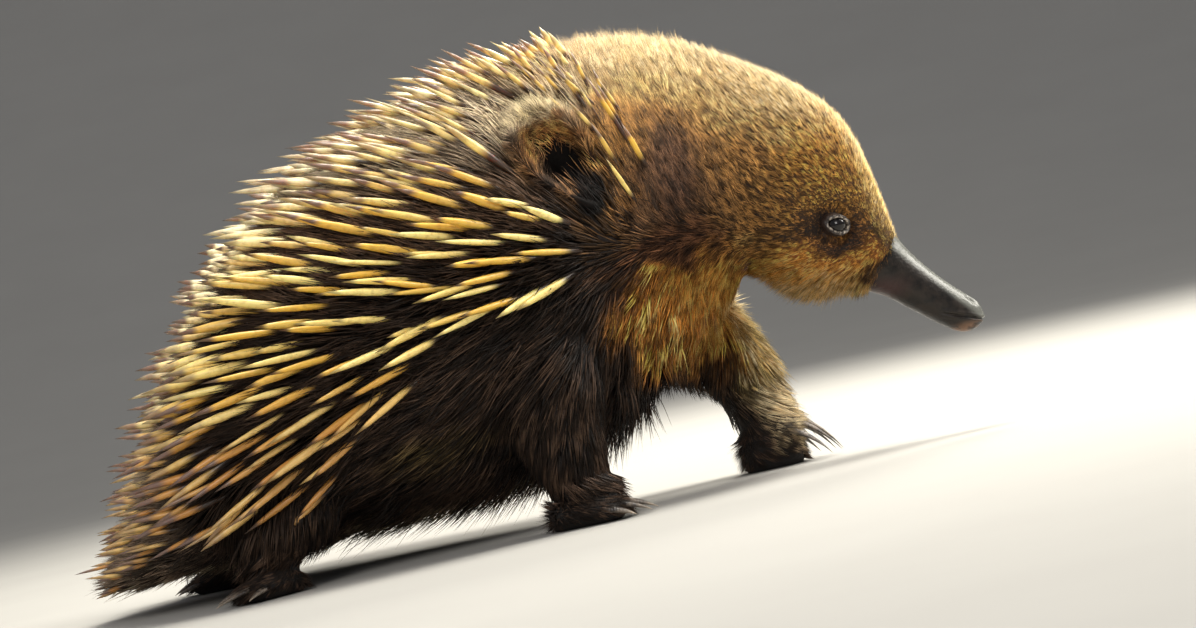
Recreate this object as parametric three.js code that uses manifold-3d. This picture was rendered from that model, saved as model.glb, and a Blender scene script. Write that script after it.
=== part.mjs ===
// A short-beaked echidna at life size, standing still with its head lowered and its left forefoot forward.
// Millimetres. +X runs towards the beak, +Y to the animal's left, +Z up, and the floor is Z = 0.
// The origin lies on the floor under the middle of the animal, spines and claws included.

import * as THREE from "three";
import { LoftGeometry } from "three/addons/geometries/LoftGeometry.js";
import { mergeVertices } from "three/addons/utils/BufferGeometryUtils.js";
import Module from "manifold-3d";

const wasm = await Module();
wasm.setup();

const GAP = 0.3; // between pieces that touch
const TURN = 2 * Math.PI;
const SIDES = { right: -1, left: 1 }; // sign of Y

// The outline of tail, torso, neck and head in the plane of symmetry, as slices from tail to beak.
// Each slice has the X and Z of its top and bottom edge, and its half width.
const BODY = [
  { at: "tail tip", top: [-174, 21], bottom: [-173, 10], half: 9 },
  { at: "tail root", top: [-164, 33], bottom: [-162, 8], half: 30 },
  { at: "rump", top: [-148, 58], bottom: [-144, 8], half: 54 },
  { at: "haunch", top: [-131, 89], bottom: [-126, 9], half: 72 },
  { at: "loin", top: [-108, 128], bottom: [-104, 11], half: 87 },
  { at: "mid back", top: [-76, 159], bottom: [-74, 13], half: 91 },
  { at: "back", top: [-40, 176], bottom: [-40, 14], half: 88 },
  { at: "withers", top: [-8, 186.5], bottom: [-6, 18], half: 79 },
  { at: "shoulder", top: [22, 193.5], bottom: [24, 28], half: 68 },
  { at: "nape", top: [48, 195], bottom: [52, 41], half: 57 },
  { at: "ears", top: [75, 192], bottom: [78, 56], half: 48.5 },
  { at: "crown", top: [100, 186], bottom: [97, 73], half: 43 },
  { at: "throat", top: [122, 176], bottom: [106, 82.5], half: 39 },
  { at: "forehead", top: [146, 158], bottom: [114, 79], half: 34.5 },
  { at: "brow", top: [160, 139.5], bottom: [124, 73.5], half: 29 },
  { at: "eyes", top: [166, 118], bottom: [134, 71], half: 24 },
  { at: "cheek", top: [169.5, 99], bottom: [144, 70], half: 18.5 },
  { at: "beak root", top: [172, 84], bottom: [153, 67.5], half: 12.2 },
];
const WIDEST = 0.42; // height of a slice's widest place, as a share of its height
const BELLY_FLATNESS = 0.75; // under 1 squares the lower half of a slice
const BODY_STEP = 0.5; // stations from one ring of the loft to the next
const BODY_RING = 24; // points round a slice

// The beak, the same way, with its half width near 0.55 of its depth.
const BEAK = [
  { at: "root", top: [172.2, 83.4], bottom: [153.6, 67.2], half: 11.2 },
  { at: "base", top: [176.8, 76], bottom: [161, 62.8], half: 9.6 },
  { at: "middle", top: [182, 69.2], bottom: [168.5, 56.6], half: 8.6 },
  { at: "shaft", top: [187.6, 62.8], bottom: [175.2, 51], half: 7.8 },
  { at: "behind nose", top: [193, 57.4], bottom: [181, 46.2], half: 7.4 },
  { at: "nose", top: [197.4, 53], bottom: [187, 42.2], half: 6.6 },
  { at: "lips", top: [199.2, 48.6], bottom: [192.4, 41.2], half: 4.2 },
  { at: "end", top: [199.2, 45.6], bottom: [196, 42.4], half: 1.8 },
];
const BEAK_RING = 14;
const MOUTH = { from: [199.5, 44.6], to: [177.5, 52.6], slit: 0.7, depth: 1.3 };
const NOSTRIL = { at: [195.4, 3, 54.2], radius: 1.5, stretch: 1.8 };

// The cuts that part the body, as lines in the plane of symmetry.
const CUTS = {
  tail: [[-160, 60], [-160, -5]],
  shoulders: [[-70, 225], [10, 90]],
  nape: [[-40, 225], [36, 86.8]],
  throat: [[10, 90], [112, 78.5]],
};

const EYE = { at: [146, 96.5], radius: 4.3, dish: 8.5, lid: 1.3, sink: 2.2 };
const EAR = { at: [38, 148], long: 27, wide: 14.5, deep: 13, wall: 2.6, slant: 24, taper: 0.35, out: 3.5 };

// Each leg runs from inside the body to its ankle: centre and radius along it, then its foot.
const LEGS = {
  foreleg_right: {
    foot: "forefoot_right",
    path: [[19, -40, 72, 26], [16, -51, 47, 22], [18, -57, 27, 17.5], [21, -58, 8, 11]],
    heel: [5, -58],
    heading: -6,
    length: 30,
    width: 27,
    height: 15,
    claw: { length: 20, width: 5, root: 7, fan: 46, rise: 0 },
  },
  foreleg_left: {
    foot: "forefoot_left",
    path: [[62, 33, 86, 27], [80, 42, 66, 23], [95, 47, 44, 17], [103, 50, 10, 11.5]],
    heel: [89, 50],
    heading: 5,
    length: 26,
    width: 28,
    height: 27,
    claw: { length: 25, width: 5.4, root: 20, fan: 40, rise: 0 },
  },
  hindleg_right: {
    foot: "hindfoot_right",
    path: [[-92, -44, 52, 30], [-96, -56, 34, 25], [-103, -64, 22, 18], [-108, -66, 7, 10]],
    heel: [-97, -65],
    heading: -152,
    length: 27,
    width: 25,
    height: 14,
    claw: { length: 15, width: 3.8, root: 6, fan: 52, rise: 2 },
  },
  hindleg_left: {
    foot: "hindfoot_left",
    path: [[-122, 38, 48, 28], [-130, 50, 32, 24], [-137, 57, 21, 17], [-141, 58, 7, 10]],
    heel: [-131, 56],
    heading: 160,
    length: 27,
    width: 25,
    height: 14,
    claw: { length: 15, width: 3.8, root: 6, fan: 52, rise: 2 },
  },
};
const LEG_RING = 10; // points round a limb
const LEG_STEPS = 7; // from one end of a limb to the other
const SHAG = { rows: [0.42, 0.68], round: 5, length: 28, lift: 0.16 }; // locks on a limb
const TOES = 5;
const GROOMING_CLAW = 1.55; // the second hind claw is longer by this factor

// The coat: the solids' surface lies about half way between the skin and the tips of the spines.
const SPINE = { spacing: 18.3, width: 3.2, sunk: 8, longest: 44, shortest: 13, lift: 0.24 };
const LOCK = { spacing: 17.5, width: 10, thick: 2.2, sunk: 7, length: 44, droop: 0.12 };
const DEPTH = { rump: 18, back: 11, nape: 7 }; // from the solids' surface to the spine tips
const COAT_SOURCE = [62, 108]; // the coat of flank and back spreads from this X, Z
const SPINE_EDGE = { x: [-95, 50], z: [15, 110], power: 0.62 }; // lower edge of the spines
const SPINE_FRONT = { top: [62, 200], low: [78, 130] }; // front edge of the spines
const FLOOR_CLEAR = 2.5; // lowest place of a spine or lock

const PAINT = {
  spines: { color: 0xc9a45a, roughness: 0.5 },
  head: { color: 0x7a5433, roughness: 0.9 },
  dark: { color: 0x2a1d17, roughness: 0.9 },
  gold: { color: 0xa87333, roughness: 0.9 },
  ear: { color: 0x5d3f28, roughness: 0.95 },
  beak: { color: 0x2b2b2d, roughness: 0.35 },
  claw: { color: 0x3c3835, roughness: 0.4 },
  eye: { color: 0x0a0808, roughness: 0.08 },
};

// A seeded random draw from 0 to 1.
let seed = 20771;
function random() {
  seed = (seed * 1664525 + 1013904223) % 4294967296;
  return seed / 4294967296;
}
const vary = (amount) => (random() * 2 - 1) * amount;
const radians = (degrees) => (degrees * Math.PI) / 180;
const smooth = (low, high, x) =>
  low < high ? THREE.MathUtils.smoothstep(x, low, high) : 1 - THREE.MathUtils.smoothstep(x, high, low);
const mix = THREE.MathUtils.lerp;
const vector = (x, y, z) => new THREE.Vector3(x, y, z);

// A closed geometry as a solid: only its positions, with shared corners merged.
function solid(geometry) {
  const bare = new THREE.BufferGeometry();
  const source = geometry.index ? geometry.toNonIndexed() : geometry;
  bare.setAttribute("position", source.getAttribute("position"));
  const merged = mergeVertices(bare, 1e-4);
  const corners = [];
  for (let i = 0; i < merged.index.count; i += 3) {
    const [a, b, c] = merged.index.array.slice(i, i + 3);
    if (a !== b && b !== c && c !== a) corners.push(a, b, c);
  }
  return new wasm.Manifold(
    new wasm.Mesh({
      numProp: 3,
      vertProperties: merged.attributes.position.array,
      triVerts: new Uint32Array(corners),
    }),
  );
}

// The largest closed surface of a solid, which fills sealed hollows and drops scraps.
function largest(shape) {
  return shape.decompose().reduce((a, b) => (a.volume() > b.volume() ? a : b));
}

const join = (shapes) => wasm.Manifold.union(shapes);

// A closed loft through rings of points, turned to face outwards. The last ring may be one point.
function loft(rings) {
  const [first, second] = rings;
  const facing = vector(0, 0, 0);
  first.forEach((p, k) => facing.add(p.clone().cross(first[(k + 1) % first.length])));
  const middle = (ring) => ring.reduce((sum, p) => sum.add(p), vector(0, 0, 0)).divideScalar(ring.length);
  const along = middle(second).sub(middle(first));
  const turned = facing.dot(along) < 0 ? rings.map((ring) => [...ring].reverse()) : rings;
  const end = rings[rings.length - 1];
  const pointed = end[0].distanceTo(end[1]) < 1e-6;
  return solid(new LoftGeometry(turned, { capStart: true, capEnd: !pointed }));
}

// Smooth curves through the tops, the bottoms and the half widths of a list of slices.
function slices(stations) {
  const curve = (points) => new THREE.CatmullRomCurve3(points);
  const tops = curve(stations.map((s) => vector(s.top[0], 0, s.top[1])));
  const bottoms = curve(stations.map((s) => vector(s.bottom[0], 0, s.bottom[1])));
  const halves = curve(stations.map((s, i) => vector(i, 0, s.half)));
  const last = stations.length - 1;
  return {
    last,
    // The point at an angle round slice t: 0 is the top, a quarter turn is the left side.
    point(t, angle, grow = 0, flatness = BELLY_FLATNESS) {
      const top = tops.getPoint(t / last);
      const bottom = bottoms.getPoint(t / last);
      const half = halves.getPoint(t / last).z + grow;
      const height = top.distanceTo(bottom);
      const up = top.clone().sub(bottom).normalize();
      const centre = bottom.clone().addScaledVector(up, height * WIDEST);
      const c = Math.cos(angle);
      const rise =
        c > 0
          ? c * (height * (1 - WIDEST) + grow)
          : -(Math.abs(c) ** flatness) * (height * WIDEST + grow);
      return centre.addScaledVector(up, rise).add(vector(0, half * Math.sin(angle), 0));
    },
  };
}

function ringsOf(form, from, to, step, count, grow = 0, flatness = BELLY_FLATNESS) {
  const rings = [];
  const steps = Math.round((to - from) / step);
  for (let i = 0; i <= steps; i++) {
    const t = from + ((to - from) * i) / steps;
    const ring = [];
    for (let k = 0; k < count; k++) ring.push(form.point(t, (k / count) * TURN, grow, flatness));
    rings.push(ring);
  }
  return rings;
}

const bodyForm = slices(BODY);
const beakForm = slices(BEAK);

// The outward direction of the body's surface.
function bodyNormal(t, angle) {
  const small = 0.01;
  const low = Math.max(0, t - small);
  const high = Math.min(bodyForm.last, t + small);
  const along = bodyForm.point(high, angle).sub(bodyForm.point(low, angle));
  const round = bodyForm.point(t, angle + small).sub(bodyForm.point(t, angle - small));
  const normal = round.cross(along).normalize();
  const outward = bodyForm.point(t, angle).sub(bodyForm.point(t, 0).lerp(bodyForm.point(t, Math.PI), 0.5));
  return normal.dot(outward) < 0 ? normal.negate() : normal;
}

// A thin flat cut along a line in the plane of symmetry, right across the animal.
function cut([[x0, z0], [x1, z1]]) {
  const slab = new THREE.BoxGeometry(Math.hypot(x1 - x0, z1 - z0) + GAP, 260, GAP);
  slab.rotateY(-Math.atan2(z1 - z0, x1 - x0));
  slab.translate((x0 + x1) / 2, 0, (z0 + z1) / 2);
  return solid(slab);
}

// Which side of a cut a point lies on: positive towards the beak.
function ahead([[x0, z0], [x1, z1]], x, z) {
  return (x1 - x0) * (z - z0) - (z1 - z0) * (x - x0);
}

// An egg with its long axis in the plane of the body's side, wider at the top by the taper.
function egg(centre, [long, deep, wide], { slant, taper }) {
  const ball = new THREE.SphereGeometry(1, 12, 7);
  ball.rotateX(Math.PI / 2);
  const place = ball.attributes.position;
  for (let i = 0; i < place.count; i++) place.setX(i, place.getX(i) * (1 + taper * place.getZ(i)));
  ball.scale(wide, deep, long);
  ball.rotateY(-radians(slant));
  ball.translate(centre.x, centre.y, centre.z);
  return solid(ball);
}

// The point on the side of the body that shows at this X and Z, with the normal there.
function sidePoint(x, z, side) {
  let best = { gap: Infinity };
  for (let t = 0; t <= bodyForm.last; t += 0.05) {
    for (let turn = 0.02; turn < 0.48; turn += 0.01) {
      const angle = side * turn * TURN;
      const p = bodyForm.point(t, angle);
      const gap = Math.hypot(p.x - x, p.z - z);
      if (gap < best.gap) best = { gap, t, angle, point: p };
    }
  }
  best.normal = bodyNormal(best.t, best.angle);
  return best;
}

// How far the coat on the animal's side points up from straight back, in radians.
function lie(x, z) {
  const spread = Math.atan2(z - COAT_SOURCE[1], Math.max(12, COAT_SOURCE[0] - x));
  const body = spread * (spread > 0 ? 0.5 : 0.95);
  const cheek = mix(radians(66), radians(28), smooth(80, 145, x)) * smooth(74, 108, z);
  return mix(body, cheek, smooth(36, 62, x) * smooth(98, 118, z));
}

// The direction of a spine or lock: along the lie on the sides, straight back near the midline,
// and lifted off the surface by at least the given share.
function growth(point, normal, least) {
  const angle = lie(point.x, point.z) * Math.abs(normal.y) ** 0.7;
  const way = vector(-Math.cos(angle), 0, Math.sin(angle));
  const out = way.dot(normal);
  if (out < least) {
    const flat = way.addScaledVector(normal, -out).normalize();
    return flat.multiplyScalar(Math.sqrt(1 - least * least)).addScaledVector(normal, least);
  }
  return way;
}

// The coat's depth over the solids at an X.
function depth(x) {
  return mix(mix(DEPTH.back, DEPTH.nape, smooth(0, 65, x)), DEPTH.rump, smooth(-95, -150, x));
}

// A tapered spine with three sides: its root goes straight into the skin, then it leans over.
function spine(root, normal, way, length, width) {
  const side = vector(0, 0, 1).cross(way).normalize();
  const over = way.clone().cross(side);
  const centres = [
    root.clone().addScaledVector(normal, -SPINE.sunk),
    root.clone().addScaledVector(way, length * 0.34),
    root.clone().addScaledVector(way, length),
  ];
  const rings = centres.map((centre, i) =>
    [0, 1, 2].map((k) => {
      const angle = (k / 3) * TURN;
      const r = width * [0.42, 0.56, 0][i];
      return centre
        .clone()
        .addScaledVector(side, r * Math.cos(angle))
        .addScaledVector(over, r * Math.sin(angle));
    }),
  );
  return loft(rings);
}

// A flat tapered lock of long hair that leaves the skin steeply and bends down towards its tip.
function lock(root, normal, way, { length, width, thick, droop }) {
  const heading = way.clone();
  let centre = root.clone();
  const stages = [
    [0, 0.8],
    [0.36, 1],
    [0.7, 0.78],
    [1, 0],
  ];
  const rings = stages.map(([along, share], i) => {
    if (i === 0) centre.addScaledVector(normal, -LOCK.sunk);
    if (i === 1) centre = root.clone();
    if (i > 0) centre.addScaledVector(heading, (along - stages[i - 1][0]) * length);
    const across = normal.clone().cross(heading).normalize().multiplyScalar((width / 2) * share);
    const out = normal.clone().cross(heading).cross(heading).normalize().multiplyScalar((thick / 2) * share);
    heading.addScaledVector(vector(0, 0, -1), droop).normalize();
    return [
      centre.clone().add(across),
      centre.clone().add(out),
      centre.clone().sub(across),
      centre.clone().sub(out),
    ];
  });
  return loft(rings);
}

// True if a shape is clear of the floor and of every finished neighbour.
function isClear(shape, neighbours) {
  if (shape.boundingBox().min[2] < FLOOR_CLEAR) return false;
  return neighbours.every((other) => shape.intersect(other).isEmpty());
}

// A lock of varied size, shortened until it is clear of its neighbours.
function clearLock(point, normal, way, longest, neighbours) {
  const width = LOCK.width * (1 + vary(0.2));
  let length = longest * (1 + vary(0.15));
  for (let tries = 0; tries < 4; tries++) {
    const size = { length, width, thick: LOCK.thick, droop: LOCK.droop };
    const wide = { ...size, length: length + GAP, width: width + 2 * GAP, thick: LOCK.thick + 2 * GAP };
    if (isClear(lock(point, normal, way, wide), neighbours)) return lock(point, normal, way, size);
    length *= 0.8;
  }
  return null;
}

// The lower edge of the spines on the flank, as a height over X.
function spineEdge(x) {
  const share = THREE.MathUtils.clamp(
    (x - SPINE_EDGE.x[0]) / (SPINE_EDGE.x[1] - SPINE_EDGE.x[0]),
    0,
    1,
  );
  return mix(...SPINE_EDGE.z, share ** SPINE_EDGE.power);
}

function spineFront(z) {
  const { top, low } = SPINE_FRONT;
  return z < low[1] ? low[0] - (low[1] - z) : mix(low[0], top[0], (z - low[1]) / (top[1] - low[1]));
}

const inEar = (x, z) => {
  const turn = radians(EAR.slant);
  const dx = x - EAR.at[0];
  const dz = z - EAR.at[1];
  const along = (dz * Math.cos(turn) - dx * Math.sin(turn)) / (EAR.long + 4);
  const across = (dx * Math.cos(turn) + dz * Math.sin(turn)) / (EAR.wide + 4);
  return along * along + across * across < 1;
};

// Evenly spread, staggered places on the body, with a caller's test of what grows there.
function places(spacing, test) {
  const found = [];
  let row = 0;
  let t = 0.2;
  while (t < 10.6) {
    const here = bodyForm.point(t, 0);
    const next = bodyForm.point(t + 0.1, 0);
    for (const side of [-1, 1]) {
      let angle = row % 2 ? 0.5 : 0;
      let first = true;
      while (angle < Math.PI) {
        const step = bodyForm.point(t, angle + 0.02).distanceTo(bodyForm.point(t, angle)) / 0.02;
        if (first) angle = (row % 2 ? 0.5 : side > 0 ? 1 : 0) * (spacing / step);
        first = false;
        const wander = vary(0.16) * (spacing / step);
        const at = Math.max(0.1, t + vary(0.016) * spacing);
        const p = bodyForm.point(at, side * (angle + wander));
        if (test(p, at)) {
          const normal = bodyNormal(at, side * (angle + wander));
          found.push({ t: at, point: p, normal, side });
        }
        angle += spacing / step;
      }
    }
    t += (0.1 * spacing * 0.92) / here.distanceTo(next);
    row++;
  }
  return found;
}

// Body: modelled whole, then parted by thin cuts.
const whole = loft(ringsOf(bodyForm, 0, bodyForm.last, BODY_STEP, BODY_RING));
const grownBody = loft(ringsOf(bodyForm, 0, bodyForm.last, BODY_STEP, BODY_RING, GAP));
const cuts = join(Object.values(CUTS).map(cut));
const parted = whole.subtract(cuts).decompose();
parted.sort((a, b) => a.boundingBox().min[0] - b.boundingBox().min[0]);
const [tailCore, torsoCore, neckCore, headCore] = parted;

// Ears: a slanted oval cup in a pocket of the head, its rim standing out.
function earShapes(side) {
  const { point, normal } = sidePoint(...EAR.at, side);
  const centre = point.addScaledVector(normal, EAR.out - EAR.deep * 0.55);
  const { long, wide, deep, wall } = EAR;
  const cup = egg(centre, [long, deep, wide], EAR);
  const pocket = egg(centre, [long + GAP, deep + GAP, wide + GAP], EAR);
  const mouth = centre.clone().addScaledVector(normal, wall * 1.9);
  mouth.x += 1.5;
  mouth.z -= 2;
  const hollow = egg(mouth, [long - wall, deep - wall * 0.4, wide - wall], EAR);
  const brim = centre.clone().addScaledVector(normal, deep * 0.48);
  const outside = new THREE.BoxGeometry(90, 30, 90);
  outside.translate(0, side * 15, 0);
  outside.rotateZ(Math.atan2(-normal.x * side, normal.y * side) * 1);
  outside.translate(brim.x, brim.y, brim.z);
  return { ear: largest(cup.subtract(hollow).subtract(solid(outside))), pocket };
}

// Eyes: a ball in a shallow dish, ringed by an upper and a lower lid that stand out.
function eyeShapes(side) {
  const { point, normal } = sidePoint(...EYE.at, side);
  const centre = point.clone().addScaledVector(normal, -EYE.sink);
  const ball = new THREE.SphereGeometry(EYE.radius, 10, 8);
  ball.translate(...centre);
  const socket = new THREE.SphereGeometry(EYE.radius + GAP, 10, 8);
  socket.translate(...centre);
  const dish = new THREE.SphereGeometry(EYE.dish * 1.4, 10, 8);
  dish.translate(...point.clone().addScaledVector(normal, EYE.dish * 1.13));
  const lids = new THREE.TorusGeometry(EYE.radius * 1.02, EYE.lid, 4, 12);
  lids.scale(1.15, 0.95, 1);
  const facing = new THREE.Quaternion().setFromUnitVectors(vector(0, 0, 1), normal);
  lids.applyQuaternion(facing);
  lids.translate(...centre.clone().addScaledVector(normal, EYE.radius * 0.5));
  return { ball: solid(ball), socket: solid(socket), dish: solid(dish), lids: solid(lids) };
}

// Beak: a slender snout with two nostrils near its end and the slit of the mouth round its tip.
function beakShape() {
  const steps = 0.5;
  const roundness = 1;
  const full = loft(ringsOf(beakForm, 0, beakForm.last, steps, BEAK_RING, 0, roundness));
  const inner = loft(
    ringsOf(beakForm, 0, beakForm.last - 1, steps, BEAK_RING, -MOUTH.depth, roundness),
  );
  const [x0, z0] = MOUTH.from;
  const [x1, z1] = MOUTH.to;
  const slit = new THREE.BoxGeometry(Math.hypot(x1 - x0, z1 - z0), 30, MOUTH.slit);
  slit.rotateY(-Math.atan2(z1 - z0, x1 - x0));
  slit.translate((x0 + x1) / 2, 0, (z0 + z1) / 2);
  const nostrils = Object.values(SIDES).map((side) => {
    const [x, y, z] = NOSTRIL.at;
    const pit = new THREE.SphereGeometry(NOSTRIL.radius, 8, 6);
    pit.scale(NOSTRIL.stretch, 0.8, 1);
    pit.rotateY(radians(42));
    pit.translate(x, y * side, z);
    return solid(pit);
  });
  return largest(full.subtract(solid(slit).subtract(inner)).subtract(join(nostrils)));
}

// A point on a limb at a share of its path, counted round from its front, and the normal there.
function limbPoint(path, t, angle) {
  const centres = new THREE.CatmullRomCurve3(path.map(([x, y, z]) => vector(x, y, z)));
  const radii = new THREE.CatmullRomCurve3(path.map((p, i) => vector(i, 0, p[3])));
  const radius = radii.getPoint(t).z;
  const along = centres.getTangent(t).lerp(vector(0, 0, -1), t * t).normalize();
  const across = along.clone().cross(vector(1, 0, 0)).normalize();
  const fore = across.clone().cross(along);
  const normal = fore.multiplyScalar(Math.cos(angle)).addScaledVector(across, Math.sin(angle));
  return { point: centres.getPoint(t).addScaledVector(normal, radius), normal, along };
}

function limb(path) {
  const rings = [];
  for (let i = 0; i <= LEG_STEPS; i++) {
    const ring = [];
    for (let k = 0; k < LEG_RING; k++)
      ring.push(limbPoint(path, i / LEG_STEPS, (k / LEG_RING) * TURN).point);
    rings.push(ring);
  }
  return loft(rings);
}

// Locks of hair in staggered rows round a limb, hanging down and a little back.
function shag(path, neighbours) {
  const shapes = [];
  SHAG.rows.forEach((t, row) => {
    for (let k = 0; k < SHAG.round; k++) {
      const angle = ((k + (row % 2) / 2 + vary(0.12)) / SHAG.round) * TURN;
      const { point, normal, along } = limbPoint(path, t, angle);
      const way = along.clone().addScaledVector(normal, SHAG.lift).add(vector(-0.15, 0, 0)).normalize();
      const made = clearLock(point, normal, way, SHAG.length, neighbours);
      if (made) shapes.push(made);
    }
  });
  return shapes;
}

// The ground frame of a foot: a point `forward` of the heel and `aside` to its left.
function footPoint(leg, forward, aside, z) {
  const turn = radians(leg.heading);
  return vector(
    leg.heel[0] + forward * Math.cos(turn) - aside * Math.sin(turn),
    leg.heel[1] + forward * Math.sin(turn) + aside * Math.cos(turn),
    z,
  );
}

// A foot: a low pad whose underside is cut flat at the floor, with its toes on the front edge.
function footShape(leg, grow = 0) {
  const { length, width, height } = leg;
  const profile = [
    [0, 0.45, 0.5],
    [0.12, 0.74, 0.8],
    [0.38, 0.92, 1],
    [0.68, 1, 0.9],
    [0.9, 0.94, 0.66],
    [1, 0.78, 0.45],
  ];
  const rings = profile.map(([along, wide, tall]) => {
    const ring = [];
    for (let k = 0; k < 10; k++) {
      const angle = (k / 10) * TURN;
      const aside = ((width * wide) / 2 + grow) * Math.cos(angle);
      const middle = height * tall * 0.42;
      const z = middle + (height * tall * 0.58 + grow) * Math.sin(angle);
      ring.push(footPoint(leg, (along - 0.5) * (length + 2 * grow) + length / 2, aside, z));
    }
    return ring;
  });
  const digits = toes(leg).map(({ root, way }) => {
    const toe = new THREE.SphereGeometry(leg.claw.width * 0.8 + grow, 6, 4);
    toe.scale(1.9, 1, 1);
    toe.rotateZ(Math.atan2(way.y, way.x));
    toe.translate(...root.clone().addScaledVector(way, -3));
    return solid(toe);
  });
  const floor = new THREE.BoxGeometry(200, 200, 60);
  floor.translate(leg.heel[0], leg.heel[1], grow ? 29.2 : 30);
  return join([loft(rings), ...digits]).intersect(solid(floor));
}

// Where each toe's claw starts and which way it points.
function toes(leg) {
  const found = [];
  for (let k = 0; k < TOES; k++) {
    const share = k / (TOES - 1) - 0.5;
    const forward = leg.length * (0.95 - 0.6 * share * share);
    const root = footPoint(leg, forward, leg.width * 0.82 * share, leg.claw.root * (1 - 0.9 * share * share));
    const turn = radians(leg.heading + leg.claw.fan * share);
    found.push({ root, share, way: vector(Math.cos(turn), Math.sin(turn), 0) });
  }
  return found;
}

// A claw: a curved, tapered horn, flattened, that reaches down to just over the floor.
function clawShape(leg, { root, way, share }, index) {
  const hind = leg.claw.rise > 0;
  const stretch = hind && index === (leg.heel[1] < 0 ? 3 : 1) ? GROOMING_CLAW : 1 - 0.5 * share * share;
  const length = leg.claw.length * stretch;
  const floor = 0.7 + leg.claw.rise * 0.3;
  const start = root.clone().addScaledVector(way, -2);
  const across = vector(-way.y, way.x, 0);
  const rings = [];
  const steps = 4;
  for (let i = 0; i <= steps; i++) {
    const s = i / steps;
    const half = (leg.claw.width / 2) * (1 - s ** 1.6);
    const thick = half * 0.72;
    const drop = (start.z - floor - 0.5) * (0.35 * s + 0.65 * s * s);
    const centre = start.clone().addScaledVector(way, length * (s - 0.12 * s * s));
    centre.z = start.z - drop;
    const ring = [];
    for (let k = 0; k < 4; k++) {
      const angle = (k / 4) * TURN;
      ring.push(
        centre
          .clone()
          .addScaledVector(across, half * Math.cos(angle))
          .add(vector(0, 0, thick * Math.sin(angle))),
      );
    }
    rings.push(ring);
  }
  return loft(rings);
}

const model = new THREE.Group();
model.name = "echidna";

function addNode(name, shape, paint) {
  const data = shape.getMesh();
  const geometry = new THREE.BufferGeometry();
  geometry.setAttribute("position", new THREE.BufferAttribute(data.vertProperties, 3));
  geometry.setIndex(new THREE.BufferAttribute(data.triVerts, 1));
  geometry.computeVertexNormals();
  const mesh = new THREE.Mesh(geometry, new THREE.MeshStandardMaterial({ ...paint, metalness: 0 }));
  mesh.name = name;
  model.add(mesh);
}

// Legs, feet and claws, each cut clear of what it grows from.
const limbs = [];
for (const [name, leg] of Object.entries(LEGS)) {
  const foot = footShape(leg);
  const grownFoot = footShape(leg, GAP);
  const bare = largest(limb(leg.path).subtract(grownBody).subtract(grownFoot));
  const shank = largest(join([bare, ...shag(leg.path, [grownBody, grownFoot])]));
  addNode(name, shank, name.startsWith("fore") ? PAINT.gold : PAINT.dark);
  addNode(leg.foot, foot, PAINT.dark);
  limbs.push(shank, foot);
  toes(leg).forEach((toe, k) => {
    const claw = largest(clawShape(leg, toe, k).subtract(grownFoot));
    addNode(`${leg.foot}_claw_${k + 1}`, claw, PAINT.claw);
    limbs.push(claw);
  });
}

// Head, with pockets for the ears and eyes and with its lids.
let skull = headCore;
const ears = [];
for (const [name, side] of Object.entries(SIDES)) {
  const { ear, pocket } = earShapes(side);
  const { ball, socket, dish, lids } = eyeShapes(side);
  skull = skull.subtract(pocket).subtract(dish).add(lids).subtract(socket);
  ears.push(ear);
  addNode(`ear_${name}`, ear, PAINT.ear);
  addNode(`eye_${name}`, ball, PAINT.eye);
}
addNode("beak", beakShape().subtract(grownBody), PAINT.beak);

// Spines and long locks, dropped or lifted where they would reach another node.
function coat(core, owns, neighbours) {
  const shapes = [largest(core)];
  const spiny = (p) => p.z > spineEdge(p.x) && p.x < spineFront(p.z) && !inEar(p.x, p.z);
  for (const { point, normal } of places(SPINE.spacing, (p) => owns(p) && spiny(p))) {
    const way = growth(point, normal, SPINE.lift);
    way.add(vector(vary(0.05), vary(0.05), vary(0.05))).normalize();
    const reach = (depth(point.x) / Math.max(0.1, way.dot(normal))) * (1 + vary(0.1));
    const length = THREE.MathUtils.clamp(reach, SPINE.shortest, SPINE.longest);
    for (let tries = 0; tries < 4; tries++) {
      const wide = spine(point, normal, way, length + GAP, SPINE.width + 2 * GAP);
      if (isClear(wide, neighbours)) {
        shapes.push(spine(point, normal, way, length, SPINE.width));
        break;
      }
      way.addScaledVector(normal, 0.2).normalize();
    }
  }
  return shapes;
}

function skirt(owns, neighbours) {
  const shapes = [];
  const hairy = (p) => p.z < spineEdge(p.x) && p.z > 22 && p.x > -128 && p.x < 44;
  for (const { point, normal } of places(LOCK.spacing, (p) => owns(p) && hairy(p))) {
    const way = growth(point, normal, 0.16);
    const made = clearLock(point, normal, way, LOCK.length, neighbours);
    if (made) shapes.push(made);
  }
  return shapes;
}

const aheadOfNape = (p) => ahead(CUTS.nape, p.x, p.z) > 0 && ahead(CUTS.throat, p.x, p.z) > 0;
const aheadOfShoulders = (p) =>
  ahead(CUTS.shoulders, p.x, p.z) > 0 && ahead(CUTS.throat, p.x, p.z) > 0;

const head = largest(join(coat(skull, aheadOfNape, [neckCore, torsoCore, ...ears])));
addNode("head", head, PAINT.head);

const onNeck = (p) => aheadOfShoulders(p) && !aheadOfNape(p);
const neck = largest(join(coat(neckCore, onNeck, [head, torsoCore, ...ears])));
addNode("neck", neck, PAINT.spines);

const onTail = (p) => p.x < CUTS.tail[0][0];
const tail = largest(join(coat(tailCore, onTail, [torsoCore, ...limbs])));
addNode("tail", tail, PAINT.spines);

const onTorso = (p) => !aheadOfShoulders(p) && !onTail(p);
const around = [head, neck, tail, ...ears, ...limbs];
const torsoShapes = [...coat(torsoCore, onTorso, around), ...skirt(onTorso, around)];
addNode("torso", largest(join(torsoShapes)), PAINT.spines);

export default model;
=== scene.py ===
import math

import bmesh
import bpy
import numpy as np
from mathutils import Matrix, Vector
from mathutils.kdtree import KDTree


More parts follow.
